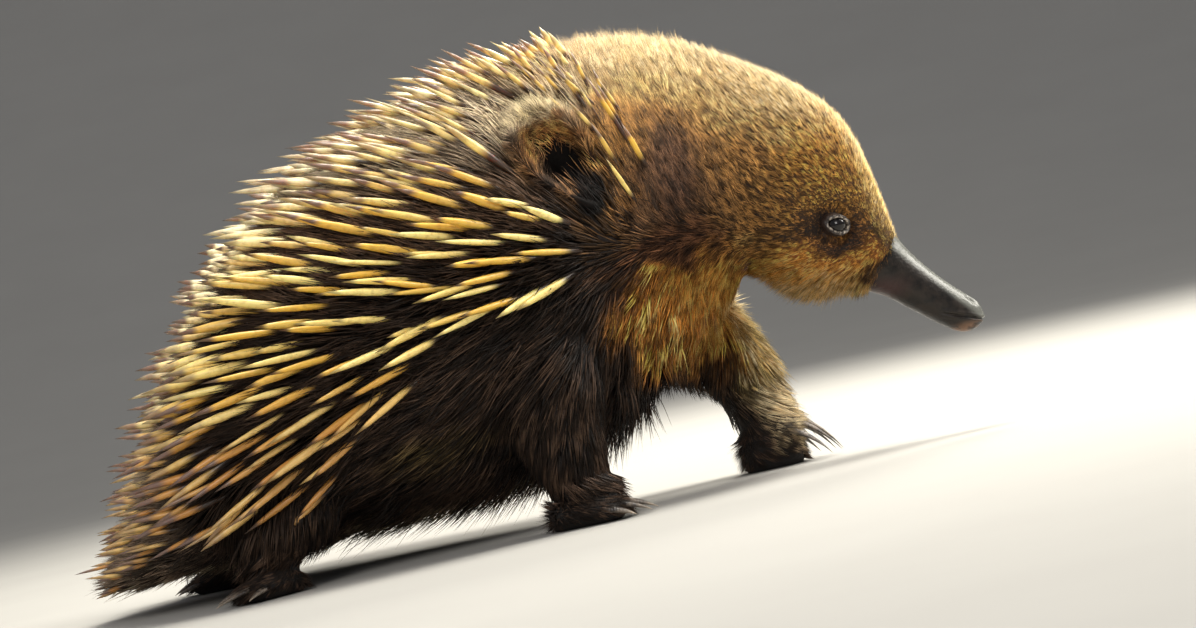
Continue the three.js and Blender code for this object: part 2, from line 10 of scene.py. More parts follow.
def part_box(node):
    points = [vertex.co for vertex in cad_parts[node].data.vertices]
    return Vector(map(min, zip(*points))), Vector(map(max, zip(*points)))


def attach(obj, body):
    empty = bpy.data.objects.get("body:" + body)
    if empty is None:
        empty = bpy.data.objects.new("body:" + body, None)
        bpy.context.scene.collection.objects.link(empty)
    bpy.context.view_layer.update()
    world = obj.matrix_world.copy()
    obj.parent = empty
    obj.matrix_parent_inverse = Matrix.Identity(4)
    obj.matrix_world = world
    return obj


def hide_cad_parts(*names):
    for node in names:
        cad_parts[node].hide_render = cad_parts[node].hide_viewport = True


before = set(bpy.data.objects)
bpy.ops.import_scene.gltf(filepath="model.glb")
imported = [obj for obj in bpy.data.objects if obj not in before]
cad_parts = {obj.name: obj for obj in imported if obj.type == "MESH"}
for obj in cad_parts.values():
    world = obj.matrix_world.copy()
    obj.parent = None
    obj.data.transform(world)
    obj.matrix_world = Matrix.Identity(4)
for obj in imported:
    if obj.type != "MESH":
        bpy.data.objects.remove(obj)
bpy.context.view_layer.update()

bpy.ops.object.select_all(action="DESELECT")
mm = 0.001


# The view: from the animal's right, level with its flank, through a long lens that is rolled a
# little, so that the back slopes down to the right.
bpy.ops.object.camera_add(
    location=(41.3 * mm, -1394 * mm, 82.1 * mm),
    rotation=(math.radians(90), math.radians(12.6), 0),
)
camera = bpy.context.object
camera.data.lens = 100
camera.data.sensor_width = 36
bpy.context.scene.camera = camera
bpy.context.scene.view_settings.view_transform = "Standard"


# The studio: one pale sheet of card that runs from under the feet to far behind the animal and up.
# It is plain and matt, and it is not part of the model.
def keep_selected(piece, wanted):
    """In edit mode, leaves only the vertices selected whose places pass a test."""
    bpy.ops.mesh.select_mode(type="VERT")
    bpy.ops.mesh.select_all(action="DESELECT")
    bpy.ops.object.mode_set(mode="OBJECT")
    for vertex in piece.data.vertices:
        vertex.select = wanted(vertex.co)
    bpy.ops.object.mode_set(mode="EDIT")
    bpy.ops.mesh.select_mode(type="VERT")


def wired(tree, node, inputs):
    """A node with its numbers set and its links made."""
    for socket, value in inputs.items():
        if isinstance(value, bpy.types.NodeSocket):
            tree.links.new(value, node.inputs[socket])
        else:
            node.inputs[socket].default_value = value
    return node


def shader(tree, kind, inputs=None, **settings):
    """A new shader node with its settings, its numbers and its links."""
    made = tree.nodes.new(kind)
    for setting, value in settings.items():
        setattr(made, setting, value)
    return wired(tree, made, inputs or {})


def paint(red, green, blue):
    """A colour given as a paint chart gives it, 0 to 255, in the light's own scale."""
    def light(share):
        return share / 12.92 if share <= 0.04045 else ((share + 0.055) / 1.055) ** 2.4

    return (light(red / 255), light(green / 255), light(blue / 255), 1)


def new_material(name):
    """An empty material with its surface shader, ready for the finish."""
    material = bpy.data.materials.new(name)
    material.use_nodes = True
    return material, material.node_tree, material.node_tree.nodes["Principled BSDF"]


bpy.ops.mesh.primitive_plane_add(size=10, location=(0, -1, 0))
studio_card = bpy.context.object
studio_card.name = "studio_card"
bpy.ops.object.mode_set(mode="EDIT")
keep_selected(studio_card, lambda place: place.y > 3)
bpy.ops.mesh.extrude_region_move(TRANSFORM_OT_translate={"value": (0, 0, 4)})
keep_selected(studio_card, lambda place: place.y > 3 and place.z < 0.1)
bpy.ops.mesh.bevel(offset=2.4, segments=24)
bpy.ops.object.mode_set(mode="OBJECT")
bpy.ops.object.transform_apply(location=True, rotation=True, scale=True)
bpy.ops.object.shade_smooth()

card_paint, tree, surface = new_material("studio_card")
fibre = shader(tree, "ShaderNodeTexNoise", {"Scale": 90, "Detail": 6})
tint = shader(
    tree, "ShaderNodeMix", {0: fibre.outputs["Fac"], 6: paint(156, 154, 150), 7: paint(162, 160, 156)},
    data_type="RGBA",
)
wired(tree, surface, {"Base Color": tint.outputs[2], "Roughness": 1, "Specular IOR Level": 0})
studio_card.data.materials.append(card_paint)


# The light: a soft lamp above the animal, one behind it that edges its coat, one ahead that draws
# the pale line along the beak and a broad weak one in front, in an even pale room.
def soft_lamp(name, place, aim, width, watts, colour):
    """A square lamp with soft edges, aimed at a place."""
    turned = (Vector(aim) - Vector(place)).to_track_quat("-Z", "Y").to_euler()
    bpy.ops.object.light_add(type="AREA", location=place, rotation=turned)
    lamp = bpy.context.object
    lamp.name = name
    lamp.data.size = width
    lamp.data.energy = watts
    lamp.data.color = colour
    lamp.visible_camera = False


soft_lamp("lamp_above", (0.22, 0.06, 1.15), (0, 0, 0.1), 0.45, 19, (1, 0.97, 0.88))
soft_lamp("lamp_behind", (0.3, 0.8, 0.8), (0, 0, 0.12), 0.4, 16, (1, 0.96, 0.86))
soft_lamp("lamp_ahead", (0.78, 0.1, 0.56), (0.14, 0, 0.08), 0.5, 10, (1, 0.96, 0.88))
soft_lamp("lamp_front", (-0.2, -1.3, 0.8), (0, 0, 0.08), 0.7, 11, (1, 0.97, 0.92))
room = bpy.data.worlds.new("room")
room.use_nodes = True
background = room.node_tree.nodes["Background"]
wired(room.node_tree, background, {"Color": (0.95, 0.96, 1, 1), "Strength": 0.42})
bpy.context.scene.world = room


# The hide: one skin over tail, trunk, neck and head, sewn up from rings. It lies under the coat,
# so it is smaller than the animal's outline by the depth of fur and spines.
trunk_slices = np.array([  # top edge x and z, bottom edge x and z, half width
    (-174, 21, -173, 10, 9),
    (-164, 33, -162, 8, 30),
    (-148, 58, -144, 8, 54),
    (-131, 89, -126, 9, 72),
    (-108, 128, -104, 11, 87),
    (-76, 159, -74, 13, 91),
    (-40, 176, -40, 14, 88),
    (-8, 186.5, -6, 18, 79),
    (22, 193.5, 24, 28, 68),
    (48, 195, 52, 41, 57),
    (75, 192, 78, 56, 48.5),
    (100, 186, 97, 73, 43),
    (122, 176, 106, 82.5, 39),
    (146, 158, 114, 79, 34.5),
    (160, 139.5, 124, 73.5, 29),
    (166, 118, 134, 71, 24),
    (169.5, 99, 144, 70, 18.5),
    (172, 84, 153, 67.5, 12.2),
]) * mm
coat_stations = np.array([-174, -150, -120, 30, 60, 100, 150, 172]) * mm
coat_depths = np.array([4, 7.5, 7.5, 7, 6, 4.5, 3, 1.4]) * mm  # from the solids' surface to the hide


def curve_at(rows, t):
    """A smooth curve through the rows of an array, where t counts rows from the first."""
    last = len(rows) - 1
    row = min(int(t), last - 1)
    before, start, end, after = (rows[min(max(row + step, 0), last)] for step in (-1, 0, 1, 2))
    f = t - row
    return 0.5 * (
        2 * start
        + (end - before) * f
        + (2 * before - 5 * start + 4 * end - after) * f**2
        + (3 * start - before - 3 * end + after) * f**3
    )


def turns(count):
    """Angles once round, at even steps."""
    return [k / count * 2 * math.pi for k in range(count)]


def slice_ring(rows, t, count, inset=0.0, squareness=0.75, widest=0.42):
    """Points round a slice, from its top by the animal's left."""
    top_x, top_z, low_x, low_z, half = curve_at(rows, t)
    top, low = Vector((top_x, 0, top_z)), Vector((low_x, 0, low_z))
    height = (top - low).length
    up = (top - low) / height
    centre = low + up * height * widest
    ring = []
    for angle in turns(count):
        rise = math.cos(angle)
        if rise > 0:
            rise *= height * (1 - widest) - inset
        else:
            rise = -(abs(rise) ** squareness) * (height * widest - inset)
        ring.append(centre + up * rise + Vector((0, (half - inset) * math.sin(angle), 0)))
    return ring


def sewn(name, rings):
    """One closed form through rings of points: a disc extruded and put in shape ring by ring."""
    bpy.ops.object.select_all(action="DESELECT")
    bpy.ops.mesh.primitive_circle_add(vertices=len(rings[0]), fill_type="NGON")
    form = bpy.context.object
    form.name = name
    bpy.ops.object.mode_set(mode="EDIT")
    for number, ring in enumerate(rings):
        if number:
            bpy.ops.mesh.extrude_region_move()
        mesh = bmesh.from_edit_mesh(form.data)
        end = next(face for face in mesh.faces if face.select)
        for vertex, point in zip(end.verts, ring):
            vertex.co = point
    bpy.ops.mesh.select_all(action="SELECT")
    bpy.ops.mesh.normals_make_consistent(inside=False)
    bpy.ops.object.mode_set(mode="OBJECT")
    points = [vertex.co[:] for vertex in form.data.vertices]
    faces = sorted(tuple(face.vertices) for face in form.data.polygons)
    form.data.clear_geometry()
    form.data.from_pydata(points, [], faces)  # extruded faces come in another order on each run
    bpy.ops.object.shade_smooth()
    return form


rings = []
for t in np.arange(0, len(trunk_slices) - 0.9, 0.5):  # every half slice
    inset = np.interp(curve_at(trunk_slices, t)[0], coat_stations, coat_depths)
    rings.append(slice_ring(trunk_slices, t, 32, inset))
hide_parts = [sewn("trunk", rings)]


# The legs and feet: short stout limbs in the same hide, each on a low pad with five toes. The
# soles are flat at the floor, and the hind feet are turned back.
leg_hair = 3.5 * mm
pad_fur = 0.6  # of the pads, in millimetres
legs = {
    "fore_right": dict(
        path=[(19, -40, 72, 26), (16, -51, 47, 22), (18, -57, 27, 17.5), (21, -58, 8, 11)],
        heel=(5, -58), heading=-6, length=30, width=27, height=15,
        claw=20, claw_width=5, claw_root=7, fan=46,
    ),
    "fore_left": dict(
        path=[(62, 33, 86, 27), (80, 42, 66, 23), (95, 47, 44, 17), (103, 50, 10, 11.5)],
        heel=(89, 50), heading=5, length=26, width=28, height=27,
        claw=25, claw_width=5.4, claw_root=20, fan=40,
    ),
    "hind_right": dict(
        path=[(-92, -44, 52, 30), (-96, -56, 34, 25), (-103, -64, 22, 18), (-108, -66, 7, 10)],
        heel=(-97, -65), heading=-152, length=27, width=25, height=14,
        claw=15, claw_width=3.8, claw_root=6, fan=52,
    ),
    "hind_left": dict(
        path=[(-122, 38, 48, 28), (-130, 50, 32, 24), (-137, 57, 21, 17), (-141, 58, 7, 10)],
        heel=(-131, 56), heading=160, length=27, width=25, height=14,
        claw=15, claw_width=3.8, claw_root=6, fan=52,
    ),
}
pad_profile = [  # share of the length, of the width and of the height
    (0, 0.45, 0.5), (0.12, 0.74, 0.8), (0.38, 0.92, 1), (0.68, 1, 0.9), (0.9, 0.94, 0.66),
    (1, 0.78, 0.45),
]


def limb_rings(path, steps=8, count=16):
    """Rings round a limb from inside the body to the ankle, the last ones level."""
    rows = np.array(path) * mm
    rings = []
    for step in range(steps + 1):
        share = step / steps
        t = share * (len(rows) - 1)
        x, y, z, radius = curve_at(rows, t)
        tangent = Vector((curve_at(rows, t + 0.02) - curve_at(rows, t - 0.02))[:3]).normalized()
        along = tangent.lerp(Vector((0, 0, -1)), share**2).normalized()
        across = along.cross(Vector((1, 0, 0))).normalized()
        fore = across.cross(along)
        size = radius - min(leg_hair, radius * 0.2)
        rings.append([
            Vector((x, y, z)) + (fore * math.cos(a) + across * math.sin(a)) * size for a in turns(count)
        ])
    return rings


def foot_place(leg, forward, aside, z):
    """A place on a foot: forward of its heel and aside to its left."""
    turn = math.radians(leg["heading"])
    x, y = leg["heel"]
    return Vector((
        x + forward * math.cos(turn) - aside * math.sin(turn),
        y + forward * math.sin(turn) + aside * math.cos(turn),
        z,
    )) * mm


def toes_of(leg):
    """The root of each toe's claw, how far out it stands in the foot, and its heading."""
    for k in range(5):
        share = k / 4 - 0.5
        root = foot_place(
            leg, leg["length"] * (0.95 - 0.6 * share**2), leg["width"] * 0.82 * share,
            leg["claw_root"] * (1 - 0.9 * share**2),
        )
        yield root, share, math.radians(leg["heading"] + leg["fan"] * share)


for name, leg in legs.items():
    hide_parts.append(sewn("limb_" + name, limb_rings(leg["path"])))
    rings = []
    for along, wide, tall in pad_profile:
        forward, middle = leg["length"] * along, leg["height"] * tall * 0.42
        high = leg["height"] * tall * 0.58 - pad_fur
        aside = leg["width"] * wide / 2 - pad_fur
        rings.append([
            foot_place(leg, forward, aside * math.cos(a), middle + high * math.sin(a)) for a in turns(16)
        ])
    hide_parts.append(sewn("pad_" + name, rings))
    for root, share, heading in toes_of(leg):
        back = Vector((math.cos(heading), math.sin(heading), 0)) * 3 * mm
        bpy.ops.mesh.primitive_uv_sphere_add(
            segments=14, ring_count=8, radius=leg["claw_width"] * 0.8 * mm, location=root - back,
            rotation=(0, 0, heading), scale=(1.9, 1, 1.05),
        )
        hide_parts.append(bpy.context.object)
        bpy.ops.object.transform_apply(location=True, rotation=True, scale=True)

bpy.ops.object.select_all(action="DESELECT")
for part in hide_parts:
    part.select_set(True)
bpy.context.view_layer.objects.active = hide_parts[0]
bpy.ops.object.join()
hide = bpy.context.object
hide.name = "hide"
hide.modifiers.new("one_skin", "REMESH").mode = "VOXEL"
hide.modifiers["one_skin"].voxel_size = 2.5 * mm
bpy.ops.object.modifier_apply(modifier="one_skin")
hide.modifiers.new("soften", "SMOOTH").iterations = 8
bpy.ops.object.modifier_apply(modifier="soften")


def places_of(piece):
    """The places of a piece's vertices, as rows."""
    places = np.empty(len(piece.data.vertices) * 3)
    piece.data.vertices.foreach_get("co", places)
    return places.reshape(-1, 3)


def put_places(piece, places):
    """Moves a piece's vertices to new places."""
    piece.data.vertices.foreach_set("co", np.ascontiguousarray(places).ravel())
    piece.data.update()


def soft_step(low, high, value):
    """0 below low, 1 above high and an easy rise between, or a fall where low is above high."""
    share = np.clip((np.asarray(value) - low) / (high - low), 0, 1)
    return share * share * (3 - 2 * share)


socket_depth = 2.4 * mm  # how far the hide sinks round each eye
ear_pocket = 17 * mm  # how far it sinks under each ear
sole = 0.3 * mm  # nothing of hide and coat reaches lower
ear_tilt = math.radians(24)
ear_up = Vector((-math.sin(ear_tilt), 0, math.cos(ear_tilt)))
ear_long, ear_wide = 23.5 * mm, 14 * mm
ear_middle = np.array((40, 145)) * mm
sides = {"right": -1, "left": 1}
eyes = {side: Vector(np.mean(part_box("eye_" + side), axis=0)) for side in sides}
ears, ear_facing, eye_facing = {}, {}, {}
for side, sign in sides.items():
    start = Vector((ear_middle[0], sign * 0.2, ear_middle[1]))
    hit, ears[side], ear_facing[side], face = hide.ray_cast(start, Vector((0, -sign, 0)))
    start = eyes[side] + Vector((0, sign * 0.1, 0))
    hit, place, eye_facing[side], face = hide.ray_cast(start, Vector((0, -sign, 0)))

places = places_of(hide)
for side, sign in sides.items():
    out = np.array(eye_facing[side])
    reach = np.linalg.norm(places - np.array(eyes[side]), axis=1)
    places -= out * (socket_depth * soft_step(13 * mm, 4 * mm, reach))[:, None]
    away = places - np.array(ears[side])
    up = away @ np.array(ear_up) / ear_long
    across = (away - np.outer(up * ear_long, ear_up)) @ np.array((1, 0, 0)) / ear_wide
    near = np.abs(away @ np.array(ear_facing[side])) < 25 * mm
    hollow = soft_step(1.05, 0.5, np.hypot(up, across)) * near
    places -= np.array(ear_facing[side]) * (ear_pocket * hollow)[:, None]
places[:, 2] = np.maximum(places[:, 2], sole)
put_places(hide, places)
bpy.ops.object.shade_smooth()


def unwrap(piece):
    """Lays a piece's surface out flat, in the map that its colours and its hair are placed by."""
    bpy.context.view_layer.objects.active = piece
    for layer in list(piece.data.uv_layers):
        piece.data.uv_layers.remove(layer)
    piece.data.uv_layers.new(name="OFBake")
    bpy.ops.object.mode_set(mode="EDIT")
    bpy.ops.mesh.select_all(action="SELECT")
    bpy.ops.uv.smart_project(angle_limit=math.radians(66), island_margin=0.004)
    bpy.ops.object.mode_set(mode="OBJECT")


unwrap(hide)
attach(hide, "root")
flesh = ["tail", "torso", "neck", "head"]
for part in ("foreleg", "forefoot", "hindleg", "hindfoot"):
    flesh += [part + "_" + side for side in sides]
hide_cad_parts(*flesh)


# The colours of the coat, shared by hide and hair: black-brown over flanks and legs, grizzled along
# the back, gold over the crown, orange on cheek and chest, and a dark mask round each eye. The ridge
# of the back, the top of the head, cheek, chin, chest and foreleg are painted paler than the fur as
# light falling on them, and the inside of the foreleg and the ear's hollow are painted dark as shade.
def new_group(name, inputs, outputs):
    """A shader group with named inputs and outputs."""
    group = bpy.data.node_groups.new(name, "ShaderNodeTree")
    for socket, kind in inputs:
        group.interface.new_socket(socket, in_out="INPUT", socket_type="NodeSocket" + kind)
    for socket, kind in outputs:
        group.interface.new_socket(socket, in_out="OUTPUT", socket_type="NodeSocket" + kind)
    return group, shader(group, "NodeGroupInput"), shader(group, "NodeGroupOutput")


def mixed(tree, share, under, over):
    """One colour over another, by a share."""
    return shader(tree, "ShaderNodeMix", {0: share, 6: under, 7: over}, data_type="RGBA").outputs[2]


def graded(tree, value, low, high, least=0.0, most=1.0):
    """A value eased from one range into another."""
    return shader(
        tree, "ShaderNodeMapRange",
        {"Value": value, "From Min": low, "From Max": high, "To Min": least, "To Max": most},
        interpolation_type="SMOOTHSTEP",
    ).outputs["Result"]


def maths(tree, operation, first, second=0.0):
    """A sum of two values."""
    return shader(tree, "ShaderNodeMath", {0: first, 1: second}, operation=operation).outputs[0]


def vectors(tree, operation, first, second):
    """A sum of two vectors, or of a vector and its scale."""
    other = "Scale" if operation == "SCALE" else 1
    values = {0: first, other: second}
    return shader(tree, "ShaderNodeVectorMath", values, operation=operation).outputs[0]


def patch(tree, place, centre, reach, edge=0.5):
    """A mask that is 1 about a centre and fades out at its reach along each axis."""
    away = vectors(tree, "SUBTRACT", place, [c * mm for c in centre])
    share = vectors(tree, "DIVIDE", away, [r * mm for r in reach])
    far = shader(tree, "ShaderNodeVectorMath", {0: share}, operation="LENGTH").outputs["Value"]
    return graded(tree, far, 1, edge)


markings, given, result = new_group(
    "coat_markings", [("Place", "Vector")], [("Base", "Color"), ("Tip", "Color")]
)
place = given.outputs["Place"]
wander = shader(markings, "ShaderNodeTexNoise", {"Vector": place, "Scale": 60, "Detail": 3})
drift = vectors(markings, "SUBTRACT", wander.outputs["Color"], (0.5, 0.5, 0.5))
drift = vectors(markings, "SCALE", drift, 0.03)
axes = shader(markings, "ShaderNodeSeparateXYZ", {0: vectors(markings, "ADD", place, drift)}).outputs
aside = maths(markings, "ABSOLUTE", axes["Y"])  # both sides of the body are marked alike
folded = shader(markings, "ShaderNodeCombineXYZ", {0: axes["X"], 1: aside, 2: axes["Z"]}).outputs[0]
base, tip = paint(17, 12, 10), paint(54, 41, 32)
coat_patches = [  # centre, reach, fade, colour at the root, colour at the tip
    ((-30, 90, 38), (40, 40, 18), 0.3, (36, 30, 18), (84, 70, 42)),  # olive flank
    ((-50, 0, 140), (150, 130, 50), 0.3, (44, 33, 27), (116, 90, 70)),  # brown between the spines
    ((-20, 0, 190), (140, 130, 62), 0.3, (112, 92, 78), (238, 212, 178)),  # grizzled back
    ((-170, 0, 70), (60, 110, 80), 0.3, (62, 50, 44), (196, 170, 144)),  # grizzled rump
    ((-90, 0, 110), (150, 50, 140), 0.3, (60, 46, 36), (222, 200, 160)),  # pale ridge of back and rump: partly pale fur, partly painted highlight from light above and behind
    ((100, 0, 140), (72, 200, 84), 0.62, (46, 28, 14), (142, 103, 56)),  # head
    ((79, 60, 121), (38, 90, 42), 0.1, (22, 15, 11), (66, 44, 31)),  # dark nape
    ((86, 60, 138), (22, 90, 26), 0.15, (26, 18, 13), (84, 59, 42)),
    ((148, 0, 122), (46, 66, 44), 0.15, (104, 68, 26), (206, 144, 64)),  # face
    ((44, 0, 196), (50, 90, 36), 0.3, (88, 64, 44), (196, 160, 110)),  # top of the nape: brown fur, painted paler as light from above
    ((112, 0, 194), (84, 110, 46), 0.1, (126, 98, 62), (220, 190, 132)),  # crown: golden fur, painted paler still as light from above and behind
    ((124, 0, 158), (36, 110, 26), 0.12, (120, 88, 52), (212, 174, 114)),  # temple: paler towards the top of the head as painted light from above
    ((148, 0, 170), (46, 90, 46), 0.1, (132, 100, 60), (230, 200, 138)),  # forehead: golden fur, painted paler as light from above and ahead
    # front of the forehead: golden fur, painted paler as light from above and ahead
    ((168, 0, 142), (20, 60, 38), 0.2, (136, 102, 56), (238, 206, 138)),
    ((132, 0, 80), (40, 60, 20), 0.45, (176, 104, 40), (255, 182, 86)),  # cheek: orange fur, painted brighter as light on a side that faces down
    ((122, 0, 70), (52, 60, 11), 0.3, (196, 130, 64), (255, 208, 124)),  # chin: golden fur, painted brighter as bounce light from below
    ((79, 44, 71), (42, 66, 35), 0.2, (196, 114, 44), (255, 174, 76)),  # chest: orange fur, painted brighter as sunlight on a side that faces down
    ((74, 60, 101), (42, 60, 13), 0.4, (32, 20, 13), (88, 58, 38)),  # dark lower edge of the neck
    ((108, 48, 60), (20, 34, 46), 0.3, (222, 166, 94), (255, 226, 152)),  # foreleg: cream fur, painted brighter as rim light from behind
    ((78, 48, 44), (22, 34, 20), 0.4, (20, 14, 9), (52, 36, 22)),  # painted shade inside the foreleg, where it meets the chest
    ((112, 48, 24), (20, 34, 20), 0.3, (84, 64, 44), (236, 208, 160)),  # forefoot
    ((140, 24, 97), (15, 34, 12), 0.25, (28, 18, 12), (80, 54, 32)),  # mask of the eye
    ((148, 24, 89), (8, 34, 9), 0.2, (30, 20, 13), (88, 58, 34)),
    ((160, 0, 73), (9, 30, 8), 0.3, (40, 28, 18), (96, 68, 42)),  # beak root
    ((172, 0, 106), (17, 44, 34), 0.3, (130, 92, 44), (240, 202, 116)),  # bridge of the nose
    ((62, 70, 116), (12, 50, 9), 0.3, (40, 28, 19), (104, 76, 52)),  # tan edge under the ear
    ((42, 70, 132), (12, 50, 10), 0.3, (46, 32, 21), (122, 90, 60)),
    ((24, 70, 150), (11, 50, 10), 0.3, (58, 40, 26), (150, 112, 74)),
    ((38, 70, 154), (17, 50, 14), 0.4, (84, 50, 26), (190, 128, 68)),  # inside the ear
    ((33, 70, 170), (24, 50, 11), 0.4, (160, 124, 78), (252, 230, 176)),  # top of the ear
    ((50, 70, 132), (11, 50, 18), 0.5, (7, 5, 4), (18, 12, 9)),  # painted shade in the ear's hollow
]
for centre, reach, edge, root_colour, tip_colour in coat_patches:
    share = patch(markings, folded, centre, reach, edge)
    base = mixed(markings, share, base, paint(*root_colour))
    tip = mixed(markings, share, tip, paint(*tip_colour))
wired(markings, result, {"Base": base, "Tip": tip})


def marked(tree, place):
    """The coat's colours at a place, at the roots and at the tips."""
    marks = shader(tree, "ShaderNodeGroup", {"Place": place}, node_tree=markings)
    return marks.outputs["Base"], marks.outputs["Tip"]


def place_in(tree):
    """Where each point of a piece lies, in the piece's own coordinates."""
    return shader(tree, "ShaderNodeTexCoord").outputs["Object"]


def noise(tree, place, scale, detail):
    """Cloudy noise, 0 to 1."""
    return shader(
        tree, "ShaderNodeTexNoise", {"Vector": place, "Scale": scale, "Detail": detail}
    ).outputs["Fac"]


def relief(tree, height, strength, depth):
    """The slope of a fine relief, of a depth in millimetres."""
    amounts = {"Height": height, "Strength": strength, "Distance": depth * mm}
    return shader(tree, "ShaderNodeBump", amounts).outputs["Normal"]


hide_paint, tree, surface = new_material("hide")
spot = place_in(tree)
marks, tips = marked(tree, spot)
fuzz = noise(tree, spot, 700, 4)
folds = noise(tree, spot, 160, 5)
wired(tree, surface, {
    "Base Color": mixed(tree, graded(tree, fuzz, 0.35, 0.7, 0.35, 0.8), paint(14, 10, 8), marks),
    "Roughness": 0.85,
    "Normal": relief(tree, maths(tree, "ADD", fuzz, folds), 0.6, 1),
})
hide.data.materials.append(hide_paint)


# The beak: a slender snout of bare leathery skin over bone, dark, with a painted highlight along
# its top that stands for a reflection. It has a tiny mouth round its end and two slit nostrils above
# it. Its root is sunk in the fur of the face.
def rounded(piece):
    """Rounds the facets of the piece in hand by one subdivision."""
    finer = piece.modifiers.new("rounder", "SUBSURF")
    finer.levels = 1
    finer.render_levels = 1
    bpy.ops.object.modifier_apply(modifier=finer.name)


def bulge(far, width):
    """A smooth swelling, 1 at its middle and fading over its width."""
    return np.exp(-((far / width) ** 2))


beak_slices = np.array([  # top edge x and z, bottom edge x and z, half width
    (168, 92, 146, 74, 12.4),
    (172.2, 83.4, 153.6, 67.2, 11.2),
    (176.8, 76, 161, 62.8, 9.6),
    (182, 69.2, 168.5, 56.6, 8.6),
    (187.6, 62.8, 175.2, 51, 7.8),
    (193, 57.4, 181, 46.2, 7.4),
    (197.4, 53, 187, 42.2, 6.6),
    (199.2, 48.6, 192.4, 41.2, 4.2),
    (199.2, 45.6, 196, 42.4, 1.8),
]) * mm
mouth_from, mouth_to = np.array((199.5, 44.6)) * mm, np.array((176.5, 52.9)) * mm
nostril = np.array((195.4, 3.4, 54)) * mm
beak = sewn("beak", [slice_ring(beak_slices, t, 48, 0, 1) for t in np.arange(0, 8.01, 0.2)])
rounded(beak)
places = places_of(beak)
normals = np.array([vertex.normal[:] for vertex in beak.data.vertices])
run = (mouth_to - mouth_from) / np.linalg.norm(mouth_to - mouth_from)
flat = places[:, [0, 2]] - mouth_from
along = flat @ run
off = flat[:, 1] * run[0] - flat[:, 0] * run[1]
reach = soft_step(np.linalg.norm(mouth_to - mouth_from), 14 * mm, along)
move = -0.9 * mm * bulge(off, 0.42 * mm) * reach  # the slit of the mouth
move += 0.35 * mm * bulge(np.abs(off) - 1.1 * mm, 0.7 * mm) * reach  # the lips beside it
slit = np.array((math.cos(math.radians(-52)), 0, math.sin(math.radians(-52))))  # the nostrils' slant
for sign in sides.values():
    away = places - nostril * (1, sign, 1)
    length = away @ slit
    across = np.linalg.norm(away - np.outer(length, slit), axis=1)
    far = np.hypot(length / (2.3 * mm), across / (1.15 * mm))
    move -= 1.1 * mm * bulge(far, 1)
    move += 0.08 * mm * bulge(far - 2, 0.8)
ripple = places[:, 0] / mm * 1.1 + places[:, 2] / mm * -1.35 + 0.9 * np.sin(places[:, 1] / mm * 0.8)
ripple = np.sin(ripple)
move += 0.04 * mm * ripple * soft_step(192 * mm, 178 * mm, places[:, 0])
put_places(beak, places + normals * move[:, None])

beak_paint, tree, surface = new_material("beak_skin")
spot = place_in(tree)
scales = shader(tree, "ShaderNodeTexVoronoi", {"Vector": spot, "Scale": 900}).outputs["Distance"]
grime = noise(tree, spot, 220, 7)
top_line = shader(
    tree, "ShaderNodeVectorMath", {0: spot, 1: (0.77, 0, 0.638)}, operation="DOT_PRODUCT"
).outputs["Value"]
shade = mixed(tree, graded(tree, grime, 0.35, 0.65), paint(13, 10, 8), paint(32, 25, 19))
painted_sheen_band = graded(tree, top_line, 0.1797, 0.1827)  # painted highlight along the top, standing in for a reflection
shade = mixed(tree, painted_sheen_band, shade, paint(98, 99, 94))
warm = patch(tree, spot, (160, 0, 66), (16, 30, 8), 0.2)
shade = mixed(tree, warm, shade, paint(50, 30, 27))
soil = patch(tree, spot, (192, 0, 41), (13, 30, 6), 0.35)
soil = maths(tree, "MULTIPLY", soil, graded(tree, grime, 0.4, 0.6))
shade = mixed(tree, soil, shade, paint(106, 78, 58))
dull = graded(tree, grime, 0.3, 0.7, 0.32, 0.46)
wired(tree, surface, {
    "Base Color": shade,
    "Roughness": maths(tree, "SUBTRACT", dull, graded(tree, painted_sheen_band, 0, 1, 0, 0.12)),
    "Specular IOR Level": 0.3,
    "Normal": relief(tree, maths(tree, "ADD", scales, grime), 0.25, 0.3),
})
beak.data.materials.append(beak_paint)
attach(beak, "root")
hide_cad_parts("beak")


# The eyes: small dark wet balls, each with a raised clear front, sunk between wrinkled lids of
# thin grey skin that are set into the hide.
def attribute(tree, name):
    """A number that is noted on each point of a mesh."""
    return shader(
        tree, "ShaderNodeAttribute", attribute_name=name, attribute_type="GEOMETRY"
    ).outputs["Fac"]


def note(mesh, name, values):
    """Notes a number on each point of a mesh."""
    mesh.attributes.new(name, "FLOAT", "POINT").data.foreach_set("value", values)


eye_paint, tree, surface = new_material("eye")
flecks = noise(tree, place_in(tree), 900, 3)
shade = mixed(tree, graded(tree, flecks, 0.4, 0.7), paint(4, 3, 3), paint(20, 12, 8))
wired(tree, surface, {"Base Color": shade, "Roughness": 0.04, "Specular IOR Level": 0.4})

lid_paint, tree, surface = new_material("eyelid")
spot = place_in(tree)
creases = noise(tree, spot, 800, 6)
cells = shader(tree, "ShaderNodeTexVoronoi", {"Vector": spot, "Scale": 1100}).outputs["Distance"]
shade = mixed(tree, graded(tree, creases, 0.42, 0.6), paint(38, 29, 26), paint(156, 144, 130))
shade = mixed(tree, graded(tree, attribute(tree, "rim"), 1.5, 0.7), paint(34, 23, 18), shade)
slopes = relief(tree, maths(tree, "ADD", creases, cells), 0.7, 0.3)
wired(tree, surface, {"Base Color": shade, "Roughness": 0.42, "Normal": slopes})

